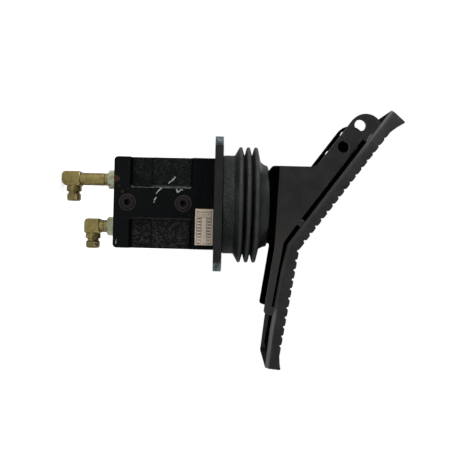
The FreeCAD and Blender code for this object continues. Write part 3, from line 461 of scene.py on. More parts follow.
def cast_paint():
    """Gloss black paint, smooth on the machined faces and thin and dusty over the rough-cast recesses, with
    painted shade lines along the recesses' step, foot and top and painted highlights on their ledges.
    """
    tint = colours()
    f = Finish("cast_paint", specular=0.13)
    depth = f.math("SUBTRACT", FACE_Y, f.math("ABSOLUTE", f.y))
    across = f.math("ABSOLUTE", f.x)
    in_height = f.band(f.z, RECESS_FOOT, RECESS_TOP, 0.4 * MM)
    rough = f.product(f.step(depth, 0.5 * MM, 1.4 * MM), f.step(depth, 7 * MM, 6 * MM),
                      f.step(across, BAND_HALF, BAND_HALF + 0.8 * MM), in_height)
    near = f.step(f.y, -FACE_Y + 9 * MM, -FACE_Y + 7 * MM)
    grain = f.noise(2.1 * MM, detail=4, roughness=0.6)
    fine = f.noise(0.8 * MM, detail=3, roughness=0.6, seed=3.1)
    patch = f.noise(9 * MM, detail=4, seed=5.0)
    heel_side = f.step(f.x, -4 * MM, 12 * MM)
    dust = f.mix(heel_side, tint.toe_dust, tint.heel_dust)
    speck = f.product(f.step(grain, 0.48, 0.62), f.step(patch, 0.25, 0.62, 0.45, 1.0))
    base = f.mix(f.product(rough, speck), tint.gloss_paint, dust)
    sparkle = f.product(rough, f.step(fine, 0.60, 0.68), f.step(patch, 0.36, 0.56))
    base = f.mix(f.product(sparkle, 0.55), base, tint.ledge_highlight_and_dust)
    rusty = f.product(rough, heel_side, f.step(f.noise(2.2 * MM, detail=3, seed=9.0), 0.60, 0.70), 0.6)
    base = f.mix(rusty, base, tint.rust)

    # Painted shade: near-black lines along the recesses' step, foot and top; the top line is strongest on the
    # heel side
    step_shade_line = f.product(f.step(depth, 0.6 * MM, 1.2 * MM),
                          f.band(f.z, RECESS_STEP - 1.2 * MM, RECESS_STEP + 0.9 * MM, 0.5 * MM))
    foot_shade_line = f.band(f.z, RECESS_FOOT - 0.6 * MM, RECESS_FOOT + 1.4 * MM, 0.5 * MM)
    top_shade_line = f.product(f.band(f.z, RECESS_TOP - 1.5 * MM, RECESS_TOP + 0.7 * MM, 0.5 * MM),
                          f.step(heel_side, 0.2, 0.8, 0.35, 1.0))
    lines = f.product(f.either(step_shade_line, foot_shade_line, top_shade_line), near,
                      f.step(across, BAND_HALF + 0.5 * MM, BAND_HALF + 1.5 * MM))
    base = f.mix(f.product(lines, 0.92), base, (0.0010, 0.0010, 0.0014))

    # Painted highlight: pale ragged lines on the recess ledges, strong on the toe side and faint on the heel
    # side
    ledge_place = f.product(near, in_height, f.step(depth, 0.1 * MM, 0.5 * MM),
                            f.step(depth, 3.9 * MM, 2.8 * MM))
    toe_ledge_highlight = f.product(ledge_place, f.band(f.x, -17.6 * MM, -14.6 * MM, 0.4 * MM))
    heel_ledge_highlight = f.product(ledge_place, f.band(f.x, 14.6 * MM, 17.4 * MM, 0.4 * MM))
    crumble = f.step(f.noise(1.9 * MM, detail=5, roughness=0.7, stretch=(1, 1, 2.6), seed=1.7), 0.38, 0.56)
    base = f.mix(f.product(toe_ledge_highlight, f.math("ADD", f.product(crumble, 0.75), 0.25)), base, tint.ledge_highlight_and_dust)
    base = f.mix(f.product(heel_ledge_highlight, f.math("ADD", f.product(crumble, 0.25), 0.10)), base, tint.ledge_highlight_and_dust)

    on_face = f.step(f.y, -FACE_Y + 4.4 * MM, -FACE_Y + 3.6 * MM)
    drips = f.strokes(DRIPS)
    base = f.mix(f.product(drips, on_face, f.step(fine, 0.30, 0.5, 0.40, 0.85)), base, tint.chip_paint)
    chips = f.either(f.spot(-23.6 * MM, -99.6 * MM, 3.8 * MM), f.spot(-10.7 * MM, -93.2 * MM, 1.7 * MM),
                     f.spot(-16.5 * MM, -96.5 * MM, 1.2 * MM))
    base = f.mix(f.product(chips, near, 0.8), base, tint.rust)
    # Pale reddish ring round each gallery plug: partly a painted rim highlight, partly reddish grime
    rings = f.either(*[f.ring(0, level, PLUG_RADIUS + 0.5 * MM, 0.55 * MM) for level in PORT_LEVELS])
    patchy = f.step(f.noise(4 * MM, seed=2.2), 0.30, 0.60, 0.35, 1.0)
    base = f.mix(f.product(rings, near, patchy), base, tint.plug_ring_grime_and_highlight)
    points = f.product(f.step(f.cells(3.4 * MM, seed=7.3), 0.085, 0.05), f.step(patch, 0.40, 0.55), 0.6)
    base = f.mix(points, base, tint.ledge_highlight_and_dust)

    roughness = f.math("ADD", f.product(rough, f.step(fine, 0.3, 0.7, 0.20, 0.36)),
                       f.step(f.noise(12 * MM, seed=4.4), 0.3, 0.7, 0.24, 0.36))
    roughness = f.math("MAXIMUM", roughness, f.product(f.either(drips, chips), 0.7))
    relief = f.math("ADD", f.product(grain, rough), f.product(drips, on_face, 0.4))
    normal = f.bump(relief, 0.7 * MM, 0.9)
    normal = f.bump(f.noise(7 * MM, detail=2, seed=6.0), 0.10 * MM, 0.5, after=normal)
    return f.finish(base, roughness, normal)


def satin_paint():
    """Satin black paint on the side plates: cloudy, dustier towards the heel, with painted shade on the inner
    faces and a painted highlight on the edges that face down.
    """
    tint = colours()
    f = Finish("bracket_finish")
    cloud = f.noise(18 * MM, detail=5, roughness=0.6, seed=1.2)
    fine = f.noise(0.9 * MM, detail=3, seed=8.0)
    highlight_breakup = f.step(f.noise(5 * MM, detail=4, seed=4.1), 0.30, 0.60, 0.45, 1.0)
    base = f.mix(f.step(cloud, 0.35, 0.65), tint.bracket_paint, tint.bracket_warm)
    low_corner = f.product(f.step(f.x, -10 * MM, 45 * MM), f.step(f.z, BASE_HIGH.z + 50 * MM, BASE_HIGH.z))
    base = f.mix(f.product(low_corner, 0.8), base, tint.bracket_dust)
    blotches = f.step(f.noise(4 * MM, detail=5, roughness=0.7, seed=3.3), 0.50, 0.72)
    base = f.mix(f.product(blotches, 0.30), base, tint.bracket_dust)
    flecks = f.product(f.step(f.cells(6 * MM, seed=2.0), 0.06, 0.04), 0.7)
    base = f.mix(f.either(flecks, f.product(f.strokes(RUBS), 0.8)), base, tint.pale_wear_and_highlight)
    # Painted shade: faces that do not look outwards are painted near-black and lose their specular
    outward = f.step(f.product(f.facing((0, 1, 0)), f.math("SIGN", f.y)), 0.45, 0.75)
    shaded = f.math("SUBTRACT", 1.0, outward)
    # Painted highlight: pale on the edges that face down, broken up by noise
    down = f.product(f.step(f.facing((0.3, 0, -0.95)), 0.10, 0.40),
                     f.step(f.math("ABSOLUTE", f.facing((0, 1, 0))), 0.97, 0.85))
    base = f.mix(shaded, base, (0.0008, 0.0008, 0.0014))
    base = f.mix(f.product(down, highlight_breakup, 0.75), base, tint.pale_wear_and_highlight)
    f.put(f.shader.inputs["Specular IOR Level"], f.product(outward, 0.34))
    roughness = f.step(cloud, 0.3, 0.7, 0.38, 0.52)
    normal = f.bump(fine, 0.06 * MM, 0.6)
    normal = f.bump(f.noise(3.5 * MM, detail=2, seed=5.5), 0.10 * MM, 0.6, after=normal)
    return f.finish(base, roughness, normal)


def shaded_paint():
    """Near-black, dull paint darkened into painted shade for what lies in the pedal's shade: base plate, cam
    and the steel inside the tread; a painted highlight strip lies by the near skirt at the heel end.
    """
    f = Finish("shaded_paint", specular=0.0)
    cloud = f.noise(9 * MM, detail=4, seed=2.6)
    base = f.mix(cloud, (0.0004, 0.0004, 0.0008), (0.0022, 0.0018, 0.0026))
    # Painted highlight: a pale lit strip by the near skirt at the heel end
    lit_strip = f.product(f.step(f.y, -22 * MM, -32 * MM), f.step(f.x, 109 * MM, 118 * MM))
    base = f.mix(f.product(lit_strip, f.step(cloud, 0.3, 0.6, 0.6, 1.0)), base, (0.20, 0.17, 0.19))
    return f.finish(base, f.step(cloud, 0.3, 0.7, 0.8, 0.95), f.bump(cloud, 0.12 * MM, 0.5))


def plate_paint():
    """The mounting plate's paint, with a pale, mottled painted sheen on its rounded ends."""
    tint = colours()
    f = Finish("plate_paint", specular=0.42)
    cloud = f.noise(14 * MM, detail=4, seed=2.0)
    base = f.mix(f.product(cloud, 0.5), tint.plate_paint, (0.022, 0.019, 0.020))
    # Painted sheen: pale, mottled colour on the plate's rounded ends
    end = f.step(f.math("ABSOLUTE", f.x), PLATE_HIGH.x - 10.5 * MM, PLATE_HIGH.x - 7.5 * MM)
    rim = f.step(f.math("ABSOLUTE", f.y), PLATE_HIGH.y - 14 * MM, PLATE_HIGH.y - 4 * MM)
    end_sheen = f.product(end, rim, f.step(f.noise(5 * MM, detail=4, seed=8.5), 0.38, 0.60, 0.20, 1.0))
    base = f.mix(end_sheen, base, (0.17, 0.23, 0.24))
    edge = f.edge_mask(0.7 * MM)
    worn = f.product(edge, f.step(f.noise(2.4 * MM, detail=5, seed=4.1), 0.42, 0.62, 0.2, 0.8))
    base = f.mix(f.product(worn, 0.7), base, (0.07, 0.072, 0.072))
    roughness = f.step(cloud, 0.3, 0.7, 0.34, 0.46)
    normal = f.bump(f.noise(1.4 * MM, detail=4, seed=5.5), 0.12 * MM, 0.6)
    return f.finish(base, roughness, normal)


def moulded_rubber(name, tint, crest=None, dark=None, pale=None):
    """Matt rubber with grain and dust; crest says where it is paler (on the boot partly a painted highlight
    on the pleats' crests), dark where painted shade is put, and pale where a painted highlight lies.
    """
    f = Finish(name, specular=0.26)
    dust_tint = colours().rubber_dust
    cloud = f.noise(15 * MM, detail=4, seed=1.0)
    fine = f.noise(0.5 * MM, detail=4, roughness=0.65, seed=2.0)
    base = f.mix(f.product(f.step(cloud, 0.3, 0.75), 0.16), tint, dust_tint)
    base = f.mix(f.product(f.step(f.noise(1.2 * MM, detail=3, seed=6.1), 0.56, 0.70), 0.22), base, dust_tint)
    if crest is not None:
        lightened = f.product(crest(f), f.step(f.noise(4 * MM, detail=4, seed=7.0), 0.25, 0.7, 0.4, 1.0))
        base = f.mix(lightened, base, dust_tint)
    if pale is not None:
        base = f.mix(pale(f), base, colours().skirt_edge_highlight)
    if dark is not None:
        # Painted shade: near-black with little specular where the dark mask says
        shade_mask = dark(f)
        base = f.mix(shade_mask, base, (0.002, 0.002, 0.003))
        f.put(f.shader.inputs["Specular IOR Level"], f.product(f.math("SUBTRACT", 1.0, shade_mask), 0.26))
    roughness = f.step(cloud, 0.25, 0.75, 0.52, 0.68)
    normal = f.bump(fine, 0.10 * MM, 0.7)
    return f.finish(base, roughness, normal)


def boot_finish():
    """Boot rubber, with a painted highlight on the pleats' crests, painted shade in its valleys, and speckled
    on the collar.
    """
    def around(f):
        return f.math("SQRT", f.math("ADD", f.product(f.x, f.x), f.product(f.y, f.y)))

    def dust_and_crest_highlight(f):
        collar = f.step(f.z, PLATE_HIGH.z + 13 * MM, PLATE_HIGH.z + 11 * MM)
        specks = f.product(collar, f.step(f.noise(1.5 * MM, detail=4, seed=3.0), 0.48, 0.64), 0.5)
        # Painted highlight: pale lines on the pleats' crests
        crest_highlight = f.product(f.step(around(f), 59 * MM, 61.2 * MM), 0.42)
        neck = f.step(f.z, PLATE_HIGH.z + 37 * MM, PLATE_HIGH.z + 41 * MM, 0.0, 0.14)
        return f.either(specks, crest_highlight, neck)

    def shade_mask(f):
        # Painted shade in the valleys between the pleats
        valley = f.product(f.step(around(f), 56.5 * MM, 54 * MM), f.step(f.z, PLATE_HIGH.z + 12 * MM,
                                                                          PLATE_HIGH.z + 14 * MM),
                           f.step(f.z, PLATE_HIGH.z + 32 * MM, PLATE_HIGH.z + 30 * MM))
        return f.product(valley, 0.75)
    return moulded_rubber("boot_rubber_finish", colours().boot_rubber, dust_and_crest_highlight, shade_mask)


def tread_finish():
    """Tread rubber, worn paler on its flared lips and edges, with painted shade inside the skirts and a
    painted highlight on the skirts' slanted edges.
    """
    def lightened(f):
        toe_end = f.step(f.x, -20 * MM, TREAD_LOW.x + 10 * MM)
        heel_end = f.step(f.x, TREAD_HIGH.x - 55 * MM, TREAD_HIGH.x - 10 * MM)
        ends = f.either(toe_end, heel_end)
        edges = f.product(f.edge_mask(0.9 * MM), f.math("ADD", f.product(ends, 0.75), 0.12))
        return f.either(edges, f.product(toe_end, 0.22))

    def slanted(f):
        # Painted highlight: a pale line on the skirts' slanted edges, strongest at the ends
        toe_end = f.step(f.x, -40 * MM, TREAD_LOW.x + 10 * MM, 0.16, 0.75)
        heel_end = f.step(f.x, 98 * MM, 112 * MM, 0.0, 0.95)
        return f.product(f.step(f.facing((-0.35, 0, -0.94)), 0.12, 0.40),
                         f.step(f.math("ABSOLUTE", f.facing((0, 1, 0))), 0.20, 0.40),
                         f.step(f.math("ABSOLUTE", f.y), TREAD_HIGH.y - 3.4 * MM, TREAD_HIGH.y - 2.8 * MM),
                         f.either(toe_end, heel_end))

    def inside(f):
        # Painted shade inside the skirts, on the faces that look down
        half = TREAD_HIGH.y
        return f.product(f.step(f.math("ABSOLUTE", f.y), half - 2.8 * MM, half - 3.2 * MM),
                         f.step(f.facing((0.35, 0, 0.94)), 0.35, 0.15), 0.9)
    return moulded_rubber("tread_rubber_finish", colours().tread_rubber, lightened, inside, slanted)


def yellow_zinc():
    """Yellow-passivated steel: golden on the barrels, brown in places and in the thread grooves, with painted
    brown shade on the flanks and painted highlights on the edges.
    """
    tint = colours()
    f = Finish("yellow_zinc_finish", metallic=0.78, specular=0.5)
    cloud = f.noise(5 * MM, detail=4, seed=1.0)
    streak = f.noise(0.8 * MM, detail=3, stretch=(1, 1, 5), seed=2.0)
    # Painted shade: brown where the surface turns away from the faces along Y
    flank_shade = f.step(f.math("ABSOLUTE", f.facing((0, 1, 0))), 0.90, 0.35)
    brown = f.math("ADD", f.product(f.step(cloud, 0.45, 0.72), 0.40),
                   f.product(f.step(streak, 0.50, 0.75), 0.25))
    brown = f.math("ADD", brown, f.product(flank_shade, 0.75), clamp=True)
    base = f.mix(brown, tint.zinc_gold, tint.zinc_brown_and_shade)
    grooves = []
    for end, rise in OUTLET_LEVELS.items():
        off = f.math("SUBTRACT", f.z, ELBOW_BOXES[end][0].z + rise)
        radial = f.math("SQRT", f.math("ADD", f.product(off, off), f.product(f.y, f.y)))
        grooves.append(f.step(radial, THREAD_RADIUS + 0.15 * MM, THREAD_RADIUS - 0.10 * MM))
    across = f.math("ABSOLUTE", f.x)
    threads = f.product(f.either(*grooves), f.band(across, PORT_X + 15.8 * MM, PORT_X + 22.6 * MM, 0.3 * MM))
    base = f.mix(f.product(threads, 0.85), base, (0.035, 0.020, 0.010))
    # Painted highlight: pale gold on the elbows' edges
    base = f.mix(f.product(f.edge_mask(0.6 * MM), 0.6), base, (0.90, 0.82, 0.50))
    roughness = f.step(cloud, 0.3, 0.7, 0.22, 0.38)
    normal = f.bump(f.noise(0.6 * MM, detail=3, seed=4.0), 0.06 * MM, 0.6)
    return f.finish(base, roughness, normal)


def green_zinc():
    tint = colours()
    f = Finish("green_zinc_finish", metallic=0.55, specular=0.5)
    cloud = f.noise(4 * MM, detail=4, seed=6.0)
    base = f.mix(f.step(cloud, 0.42, 0.75), tint.zinc_green, (0.34, 0.30, 0.14))
    # Painted highlight: pale green on the nuts' and washers' edges
    base = f.mix(f.product(f.edge_mask(0.5 * MM), 0.7), base, (0.85, 0.92, 0.74))
    normal = f.bump(f.noise(0.7 * MM, detail=3, seed=4.0), 0.06 * MM, 0.5)
    return f.finish(base, f.step(cloud, 0.3, 0.7, 0.26, 0.40), normal)


def ground_steel(name, tint, roughness, stretch=(1, 1, 6)):
    """Bare steel with the fine lines of its grinding."""
    f = Finish(name, metallic=0.9)
    lines = f.noise(0.5 * MM, detail=3, stretch=stretch, seed=1.0)
    cloud = f.noise(8 * MM, detail=3, seed=2.0)
    base = f.mix(f.product(f.step(cloud, 0.35, 0.75), 0.5), tint, tuple(c * 0.55 for c in tint))
    return f.finish(base, f.step(lines, 0.3, 0.7, roughness * 0.8, roughness * 1.25),
                    f.bump(lines, 0.03 * MM, 0.5))


def cast_iron():
    """Machined cast iron with an oily film."""
    f = Finish("cam_iron_finish", metallic=0.6)
    grain = f.noise(1.2 * MM, detail=4, seed=1.0)
    base = f.mix(f.step(grain, 0.3, 0.7), (0.085, 0.085, 0.09), (0.16, 0.155, 0.15))
    return f.finish(base, f.step(grain, 0.3, 0.7, 0.38, 0.56), f.bump(grain, 0.12 * MM, 0.6))


def black_oxide(name="black_oxide_finish", rings=()):
    """Blackened steel, worn along its edges; each ring is a pale circle about a line along Y, which on the
    gallery plugs stands partly for painted rim highlights and partly for reddish grime.
    """
    f = Finish(name, metallic=0.2, specular=0.25)
    cloud = f.noise(2.5 * MM, detail=4, seed=1.0)
    base = f.mix(cloud, (0.0030, 0.0030, 0.0042), (0.0090, 0.0080, 0.0085))
    worn = f.product(f.edge_mask(0.3 * MM),
                     f.step(f.noise(1.4 * MM, detail=4, seed=3.0), 0.42, 0.60, 0.2, 0.7))
    base = f.mix(f.product(worn, 0.5), base, (0.07, 0.058, 0.052))
    # Each ring is partly a painted rim highlight and partly reddish grime
    for x, z, radius, half, strength in rings:
        lightened = f.product(f.ring(x, z, radius, half),
                           f.step(f.noise(3 * MM, seed=radius * 900), 0.3, 0.6, 0.5, 1.0))
        base = f.mix(f.product(lightened, strength), base, colours().plug_ring_grime_and_highlight)
    return f.finish(base, f.step(cloud, 0.3, 0.7, 0.36, 0.52), f.bump(cloud, 0.05 * MM, 0.5))


def seal_rubber():
    f = Finish("seal_rubber_finish", specular=0.4)
    fine = f.noise(0.8 * MM, detail=3)
    base = f.mix(fine, (0.010, 0.010, 0.010), (0.022, 0.022, 0.022))
    return f.finish(base, f.step(fine, 0.3, 0.7, 0.4, 0.55), f.bump(fine, 0.03 * MM, 0.5))


def sintered_bronze():
    f = Finish("bronze_finish", metallic=0.85)
    grain = f.noise(0.5 * MM, detail=3)
    base = f.mix(grain, colours().bronze, (0.36, 0.22, 0.09))
    return f.finish(base, f.step(grain, 0.3, 0.7, 0.34, 0.5), f.bump(grain, 0.04 * MM, 0.6))


def label_finish():
    """Etched metal label with a border, a header row, a central slot and two columns of ruled fields."""
    tint = colours()
    f = Finish("label_finish", metallic=0.15, specular=0.5)
    width = LABEL_HIGH.z - LABEL_LOW.z
    middle = (LABEL_LOW.z + LABEL_HIGH.z) / 2
    off = f.math("ABSOLUTE", f.math("SUBTRACT", f.z, middle))
    length_low = LABEL_LOW.x + 3.4 * MM
    length_high = LABEL_HIGH.x - 1.5 * MM
    half = width / 2 - 1.5 * MM
    line = 0.55 * MM
    inside_x = f.band(f.x, length_low, length_high, 0.1 * MM)
    inside_z = f.step(off, half + 0.1 * MM, half - 0.1 * MM)
    border = f.either(
        f.product(f.band(off, half - line, half, 0.12 * MM), inside_x),
        f.product(f.band(f.x, length_low - line, length_low, 0.12 * MM), inside_z),
        f.product(f.band(f.x, length_high, length_high + line, 0.12 * MM), inside_z))
    header = LABEL_LOW.x + 8.2 * MM
    header_line = f.product(f.band(f.x, header - line / 2, header + line / 2, 0.12 * MM), inside_z)
    columns_x = f.step(f.x, header, header + 0.3 * MM)
    column = f.product(f.band(off, 2.55 * MM, 2.55 * MM + line, 0.12 * MM), columns_x, inside_x)
    slot_length = f.band(f.x, LABEL_LOW.x + 9.4 * MM, LABEL_HIGH.x - 3.0 * MM, 0.3 * MM)
    slot = f.product(f.step(off, 1.45 * MM, 1.1 * MM), slot_length)
    rows = f.math("FRACT", f.math("DIVIDE", f.math("SUBTRACT", f.x, header), 3.1 * MM))
    row_ink = f.product(f.band(rows, 0.28, 0.74, 0.08), f.band(off, 3.3 * MM, half - 1.0 * MM, 0.25 * MM),
                        columns_x, inside_x, f.step(f.noise(1.2 * MM, detail=2, seed=5.0), 0.30, 0.48))
    tick = f.math("FRACT", f.math("DIVIDE", f.z, 2.3 * MM))
    header_ink = f.product(f.band(tick, 0.25, 0.62, 0.1),
                           f.band(f.x, header - 3.2 * MM, header - 1.7 * MM, 0.2 * MM),
                           f.step(off, half - 1.0 * MM, half - 1.3 * MM))
    ink = f.either(border, f.product(header_line, 0.7), f.product(column, 0.9), row_ink,
                   f.product(header_ink, 0.85))
    cloud = f.noise(6 * MM, detail=4, seed=2.0)
    # Painted highlight: the nameplate's lit end, warmer and brighter, where the ink fades
    lit_end = f.product(f.step(f.x, LABEL_LOW.x + 19 * MM, LABEL_HIGH.x - 5 * MM),
                     f.step(cloud, 0.25, 0.65, 0.5, 1.0))
    base = f.mix(lit_end, tint.label_metal, tint.label_warm)
    base = f.mix(f.product(slot, 0.6), base, (0.95, 0.86, 0.72))
    dull = f.product(f.step(f.noise(1.3 * MM, detail=4, seed=9.0), 0.50, 0.72), 0.3)
    base = f.mix(dull, base, (0.20, 0.165, 0.13))
    base = f.mix(f.product(ink, f.step(lit_end, 0.4, 0.95, 0.95, 0.55)), base, tint.label_ink)
    relief = f.math("SUBTRACT", f.product(slot, 0.5), ink)
    normal = f.bump(relief, 0.08 * MM, 0.7)
    return f.finish(base, f.step(cloud, 0.3, 0.7, 0.34, 0.50), normal)


def weld_finish():
    f = Finish("weld_finish", metallic=0.1, specular=0.15)
    grain = f.noise(1.0 * MM, detail=4)
    base = f.mix(f.step(grain, 0.35, 0.65), (0.003, 0.003, 0.004), (0.016, 0.016, 0.018))
    return f.finish(base, f.step(grain, 0.3, 0.7, 0.30, 0.5), f.bump(grain, 0.15 * MM, 0.7))


def round_edges(node, edge):
    """Rounds an object's sharp edges with modifiers that leave its mesh as it is."""
    weld = node.modifiers.new("join_edges", "WELD")
    weld.merge_threshold = 0.01 * MM
    flatten = node.modifiers.new("flat_faces", "DECIMATE")
    flatten.decimate_type = "DISSOLVE"
    flatten.angle_limit = math.radians(1)
    bevel = node.modifiers.new("edge_round", "BEVEL")
    bevel.width = edge
    bevel.segments = 2
    bevel.limit_method = "ANGLE"
    bevel.angle_limit = math.radians(40)
    bevel.use_clamp_overlap = True
    node.modifiers.new("face_normals", "WEIGHTED_NORMAL")


def dress(names, material, edge=None):
    """Gives CAD nodes a finish and rounded edges, with their meshes left as they are."""
    for name in names:
        node = frame["nodes"][name]
        for slot in node.material_slots:
            slot.material = material
        if edge:
            round_edges(node, edge)


def new_piece(name, verts, faces, material, smooth=True):
    """A mesh object with its finish."""
    mesh = bpy.data.meshes.new(name)
    mesh.from_pydata([tuple(v) for v in verts], [], faces)
    mesh.validate()
    mesh.materials.append(material)
    mesh.polygons.foreach_set("use_smooth", [smooth] * len(mesh.polygons))
    mesh.update()
    piece = bpy.data.objects.new(name, mesh)
    bpy.context.scene.collection.objects.link(piece)
    return piece


def loft(rings, closed=False):
    """Vertices and faces of a skin over rings of equally many points, with end caps unless closed."""
    count = len(rings[0])
    verts = [point for ring in rings for point in ring]
    faces = []
    for i in range(len(rings) if closed else len(rings) - 1):
        low = i * count
        high = (i + 1) % len(rings) * count
        for j in range(count):
            after = (j + 1) % count
            faces.append((low + j, high + j, high + after, low + after))
    if not closed:
        faces.append(tuple(range(count)))
        faces.append(tuple(len(verts) - 1 - j for j in range(count)))
    return verts, faces


def arc(centre, radius, start, end, steps):
    """Points of an arc in a profile; angles in degrees from the first axis."""
    return [(centre[0] + radius * math.cos(math.radians(start + (end - start) * i / steps)),
             centre[1] + radius * math.sin(math.radians(start + (end - start) * i / steps)))
            for i in range(steps + 1)]


def filleted(corners):
    """Points of a closed outline whose corners carry a radius each."""
    points = []
    for i, (x, z, radius) in enumerate(corners):
        corner = Vector((x, z))
        if not radius:
            points.append(corner)
            continue
        before = (Vector(corners[i - 1][:2]) - corner).normalized()
        after = (Vector(corners[(i + 1) % len(corners)][:2]) - corner).normalized()
        half = before.angle(after) / 2
        centre = corner + (before + after).normalized() * (radius / math.sin(half))
        start = corner + before * (radius / math.tan(half)) - centre
        end = corner + after * (radius / math.tan(half)) - centre
        points += [centre + start.slerp(end, step / 8).normalized() * radius for step in range(9)]
    return points


def side_outline(ease):
    """The side plate's outline in the side view: base edge, heel strip, relief by the tread, and ear.

    The toe half's relief is shallower by the ease.
    """
    s = sizes()
    toe_relief = s.relief_toe - ease
    ear_relief = s.relief_wide - ease
    under = -PLATE_UNDER
    ear_run, ear_depth = EAR_CENTRE
    ear_edge = -ear_depth - EAR_RADIUS
    root = (BEND_X + ear_edge * math.sin(TOE_ANGLE) - BASE_LOW.x) / math.cos(TOE_ANGLE)
    rise = math.asin((ear_depth - PLATE_UNDER) / EAR_RADIUS)
    corners = [(BASE_LOW.x, BASE_HIGH.z, 0),
               (*pedal_point(STRIP_ROOT[0], -STRIP_ROOT[1]), STRIP_ROOT_ROUND),
               (*pedal_point(STRIP_END, -s.strip_depth), STRIP_END_ROUND),
               (*pedal_point(HEEL_TAB[1], under), 0),
               (*pedal_point(HEEL_TAB[0], under), 0), (*pedal_point(HEEL_TAB[0], -s.relief_heel), 0),
               (*pedal_point(0, -s.relief_heel), BEND_ROUND), (*pedal_point(-TOE_TAB[0], -toe_relief), 0),
               (*pedal_point(-TOE_TAB[0], under), 0), (*pedal_point(-TOE_TAB[1], under), 0),
               (*pedal_point(-TOE_TAB[1], -toe_relief), 0), (*pedal_point(-WIDE_RELIEF, -toe_relief), 0),
               (*pedal_point(-WIDE_RELIEF, -ear_relief), 0), (*pedal_point(-EAR_TAB[0], -toe_relief), 0),
               (*pedal_point(-EAR_TAB[0], under), 0)]
    for i in range(25):
        turn = rise - (rise + math.pi / 2) * i / 24
        corners.append((*pedal_point(-ear_run - EAR_RADIUS * math.cos(turn),
                                     -ear_depth + EAR_RADIUS * math.sin(turn)), 0))
    corners.append((*pedal_point(-root, ear_edge), EAR_ROOT_ROUND))
    return filleted(corners)


def build_side_plate(name, side, material, ease):
    """One side plate of the bracket: it laps the base plate's side, and its ear has two pin holes."""
    loops = [side_outline(ease)]
    for run in EAR_HOLES:
        x, z = pedal_point(-run, -EAR_HOLE_DEPTH)
        loops.append([Vector((x + EAR_HOLE_RADIUS * math.cos(math.radians(10 * i)),
                              z + EAR_HOLE_RADIUS * math.sin(math.radians(10 * i)))) for i in range(36)])
    flat = [point for loop in loops for point in loop]
    outer = side * (-SIDE_LOW.y + PLATE_LAP)
    inner = side * -SIDE_HIGH.y
    verts = [(p.x, outer, p.y) for p in flat] + [(p.x, inner, p.y) for p in flat]
    count = len(flat)
    triangles = [tuple(t) for t in tessellate_polygon([[p.to_3d() for p in loop] for loop in loops])]
    faces = triangles + [tuple(i + count for i in reversed(t)) for t in triangles]
    first = 0
    for loop in loops:
        for i in range(len(loop)):
            a, b = first + i, first + (i + 1) % len(loop)
            faces.append((a, b, b + count, a + count))
        first += len(loop)
    plate = new_piece(name + "_cut", verts, faces, material, smooth=False)
    shell = bmesh.new()
    shell.from_mesh(plate.data)
    bmesh.ops.recalc_face_normals(shell, faces=shell.faces)
    shell.to_mesh(plate.data)
    shell.free()
    round_edges(plate, sizes().edge_round)
    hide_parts(name)
    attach(plate, "pedal")


def boot_profile():
    """Outer and inner outline of the boot as radius and height: collar, three pleats and neck."""
    s = sizes()
    foot = BOOT_LOW.z
    top = BOOT_HIGH.z + s.neck_over
    rim = 1.6 * MM
    crown = 2.4 * MM
    root = foot + s.collar_height
    neck = PLATE_HIGH.z + s.neck_start
    tip = BOOT_HIGH.x - s.pleat_round
    half = s.pleat_pitch / 2
    outer = [(s.collar_radius - rim, foot)]
    outer += arc((s.collar_radius - rim, foot + rim), rim, -90, 0, 4)[1:]
    outer += [(s.collar_radius, root - 2 * MM), (s.collar_radius + 0.3 * MM, root - 0.5 * MM)]
    inner = [(s.collar_radius - s.boot_wall, foot), (s.collar_radius - s.boot_wall, root)]
    for i in range(PLEATS):
        middle = PLATE_HIGH.z + s.first_pleat + i * s.pleat_pitch
        outer += arc((tip, middle), s.pleat_round, -72, 72, 8)
        inner.append((tip - s.boot_wall, middle))
        if i < PLEATS - 1:
            outer += [(s.valley_radius + 0.9 * MM, middle + half - 0.5 * MM),
                      (s.valley_radius, middle + half),
                      (s.valley_radius + 0.9 * MM, middle + half + 0.5 * MM)]
            inner.append((s.valley_radius - s.boot_wall, middle + half))
    outer += [(s.neck_radius + s.neck_slant + 1.5 * MM, neck - 0.9 * MM),
              (s.neck_radius + s.neck_slant, neck + 0.2 * MM),
              (s.neck_radius + 0.4 * MM, top - crown - 1.4 * MM)]
    outer += arc((s.neck_radius - crown, top - crown), crown, 0, 90, 6)
    inner += [(s.neck_radius - s.boot_wall, neck - 0.6 * MM), (s.neck_radius - s.boot_wall, top)]
    return outer, inner


def build_boot():
    """The rubber boot, turned about the valve's axis."""
    outer, inner = boot_profile()
    outline = outer + inner[::-1]
    s = sizes()
    turns = s.boot_turns
    rings = []
    for i in range(turns):
        angle = 2 * math.pi * i / turns
        rings.append([(r * math.cos(angle) - s.boot_shift * min(1.0, (r - s.neck_radius) / (6 * MM) + 0.4),
                       r * math.sin(angle), z) for r, z in outline])
    verts, faces = loft(rings, closed=True)
    boot = new_piece("bellows_boot", verts, faces, boot_finish())
    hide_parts("boot")
    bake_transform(boot)


def rib_stations(first, pitch, count, depth):
    """Runs and heights of the crest line over a row of grooves, with round shoulders."""
    shape = [(-2.6, 0.0), (-1.75, -0.07), (-1.3, -0.26), (-1.0, -0.60), (-0.72, -0.95), (-0.45, -1.0),
             (0.45, -1.0), (0.72, -0.95), (1.0, -0.60), (1.3, -0.26), (1.75, -0.07), (2.6, 0.0)]
    stations = []
    for i in range(count):
        middle = first + i * pitch
        stations += [(middle + place * MM, height * depth) for place, height in shape]
        stations.append((middle + pitch / 2, 0.12 * MM))
    return stations


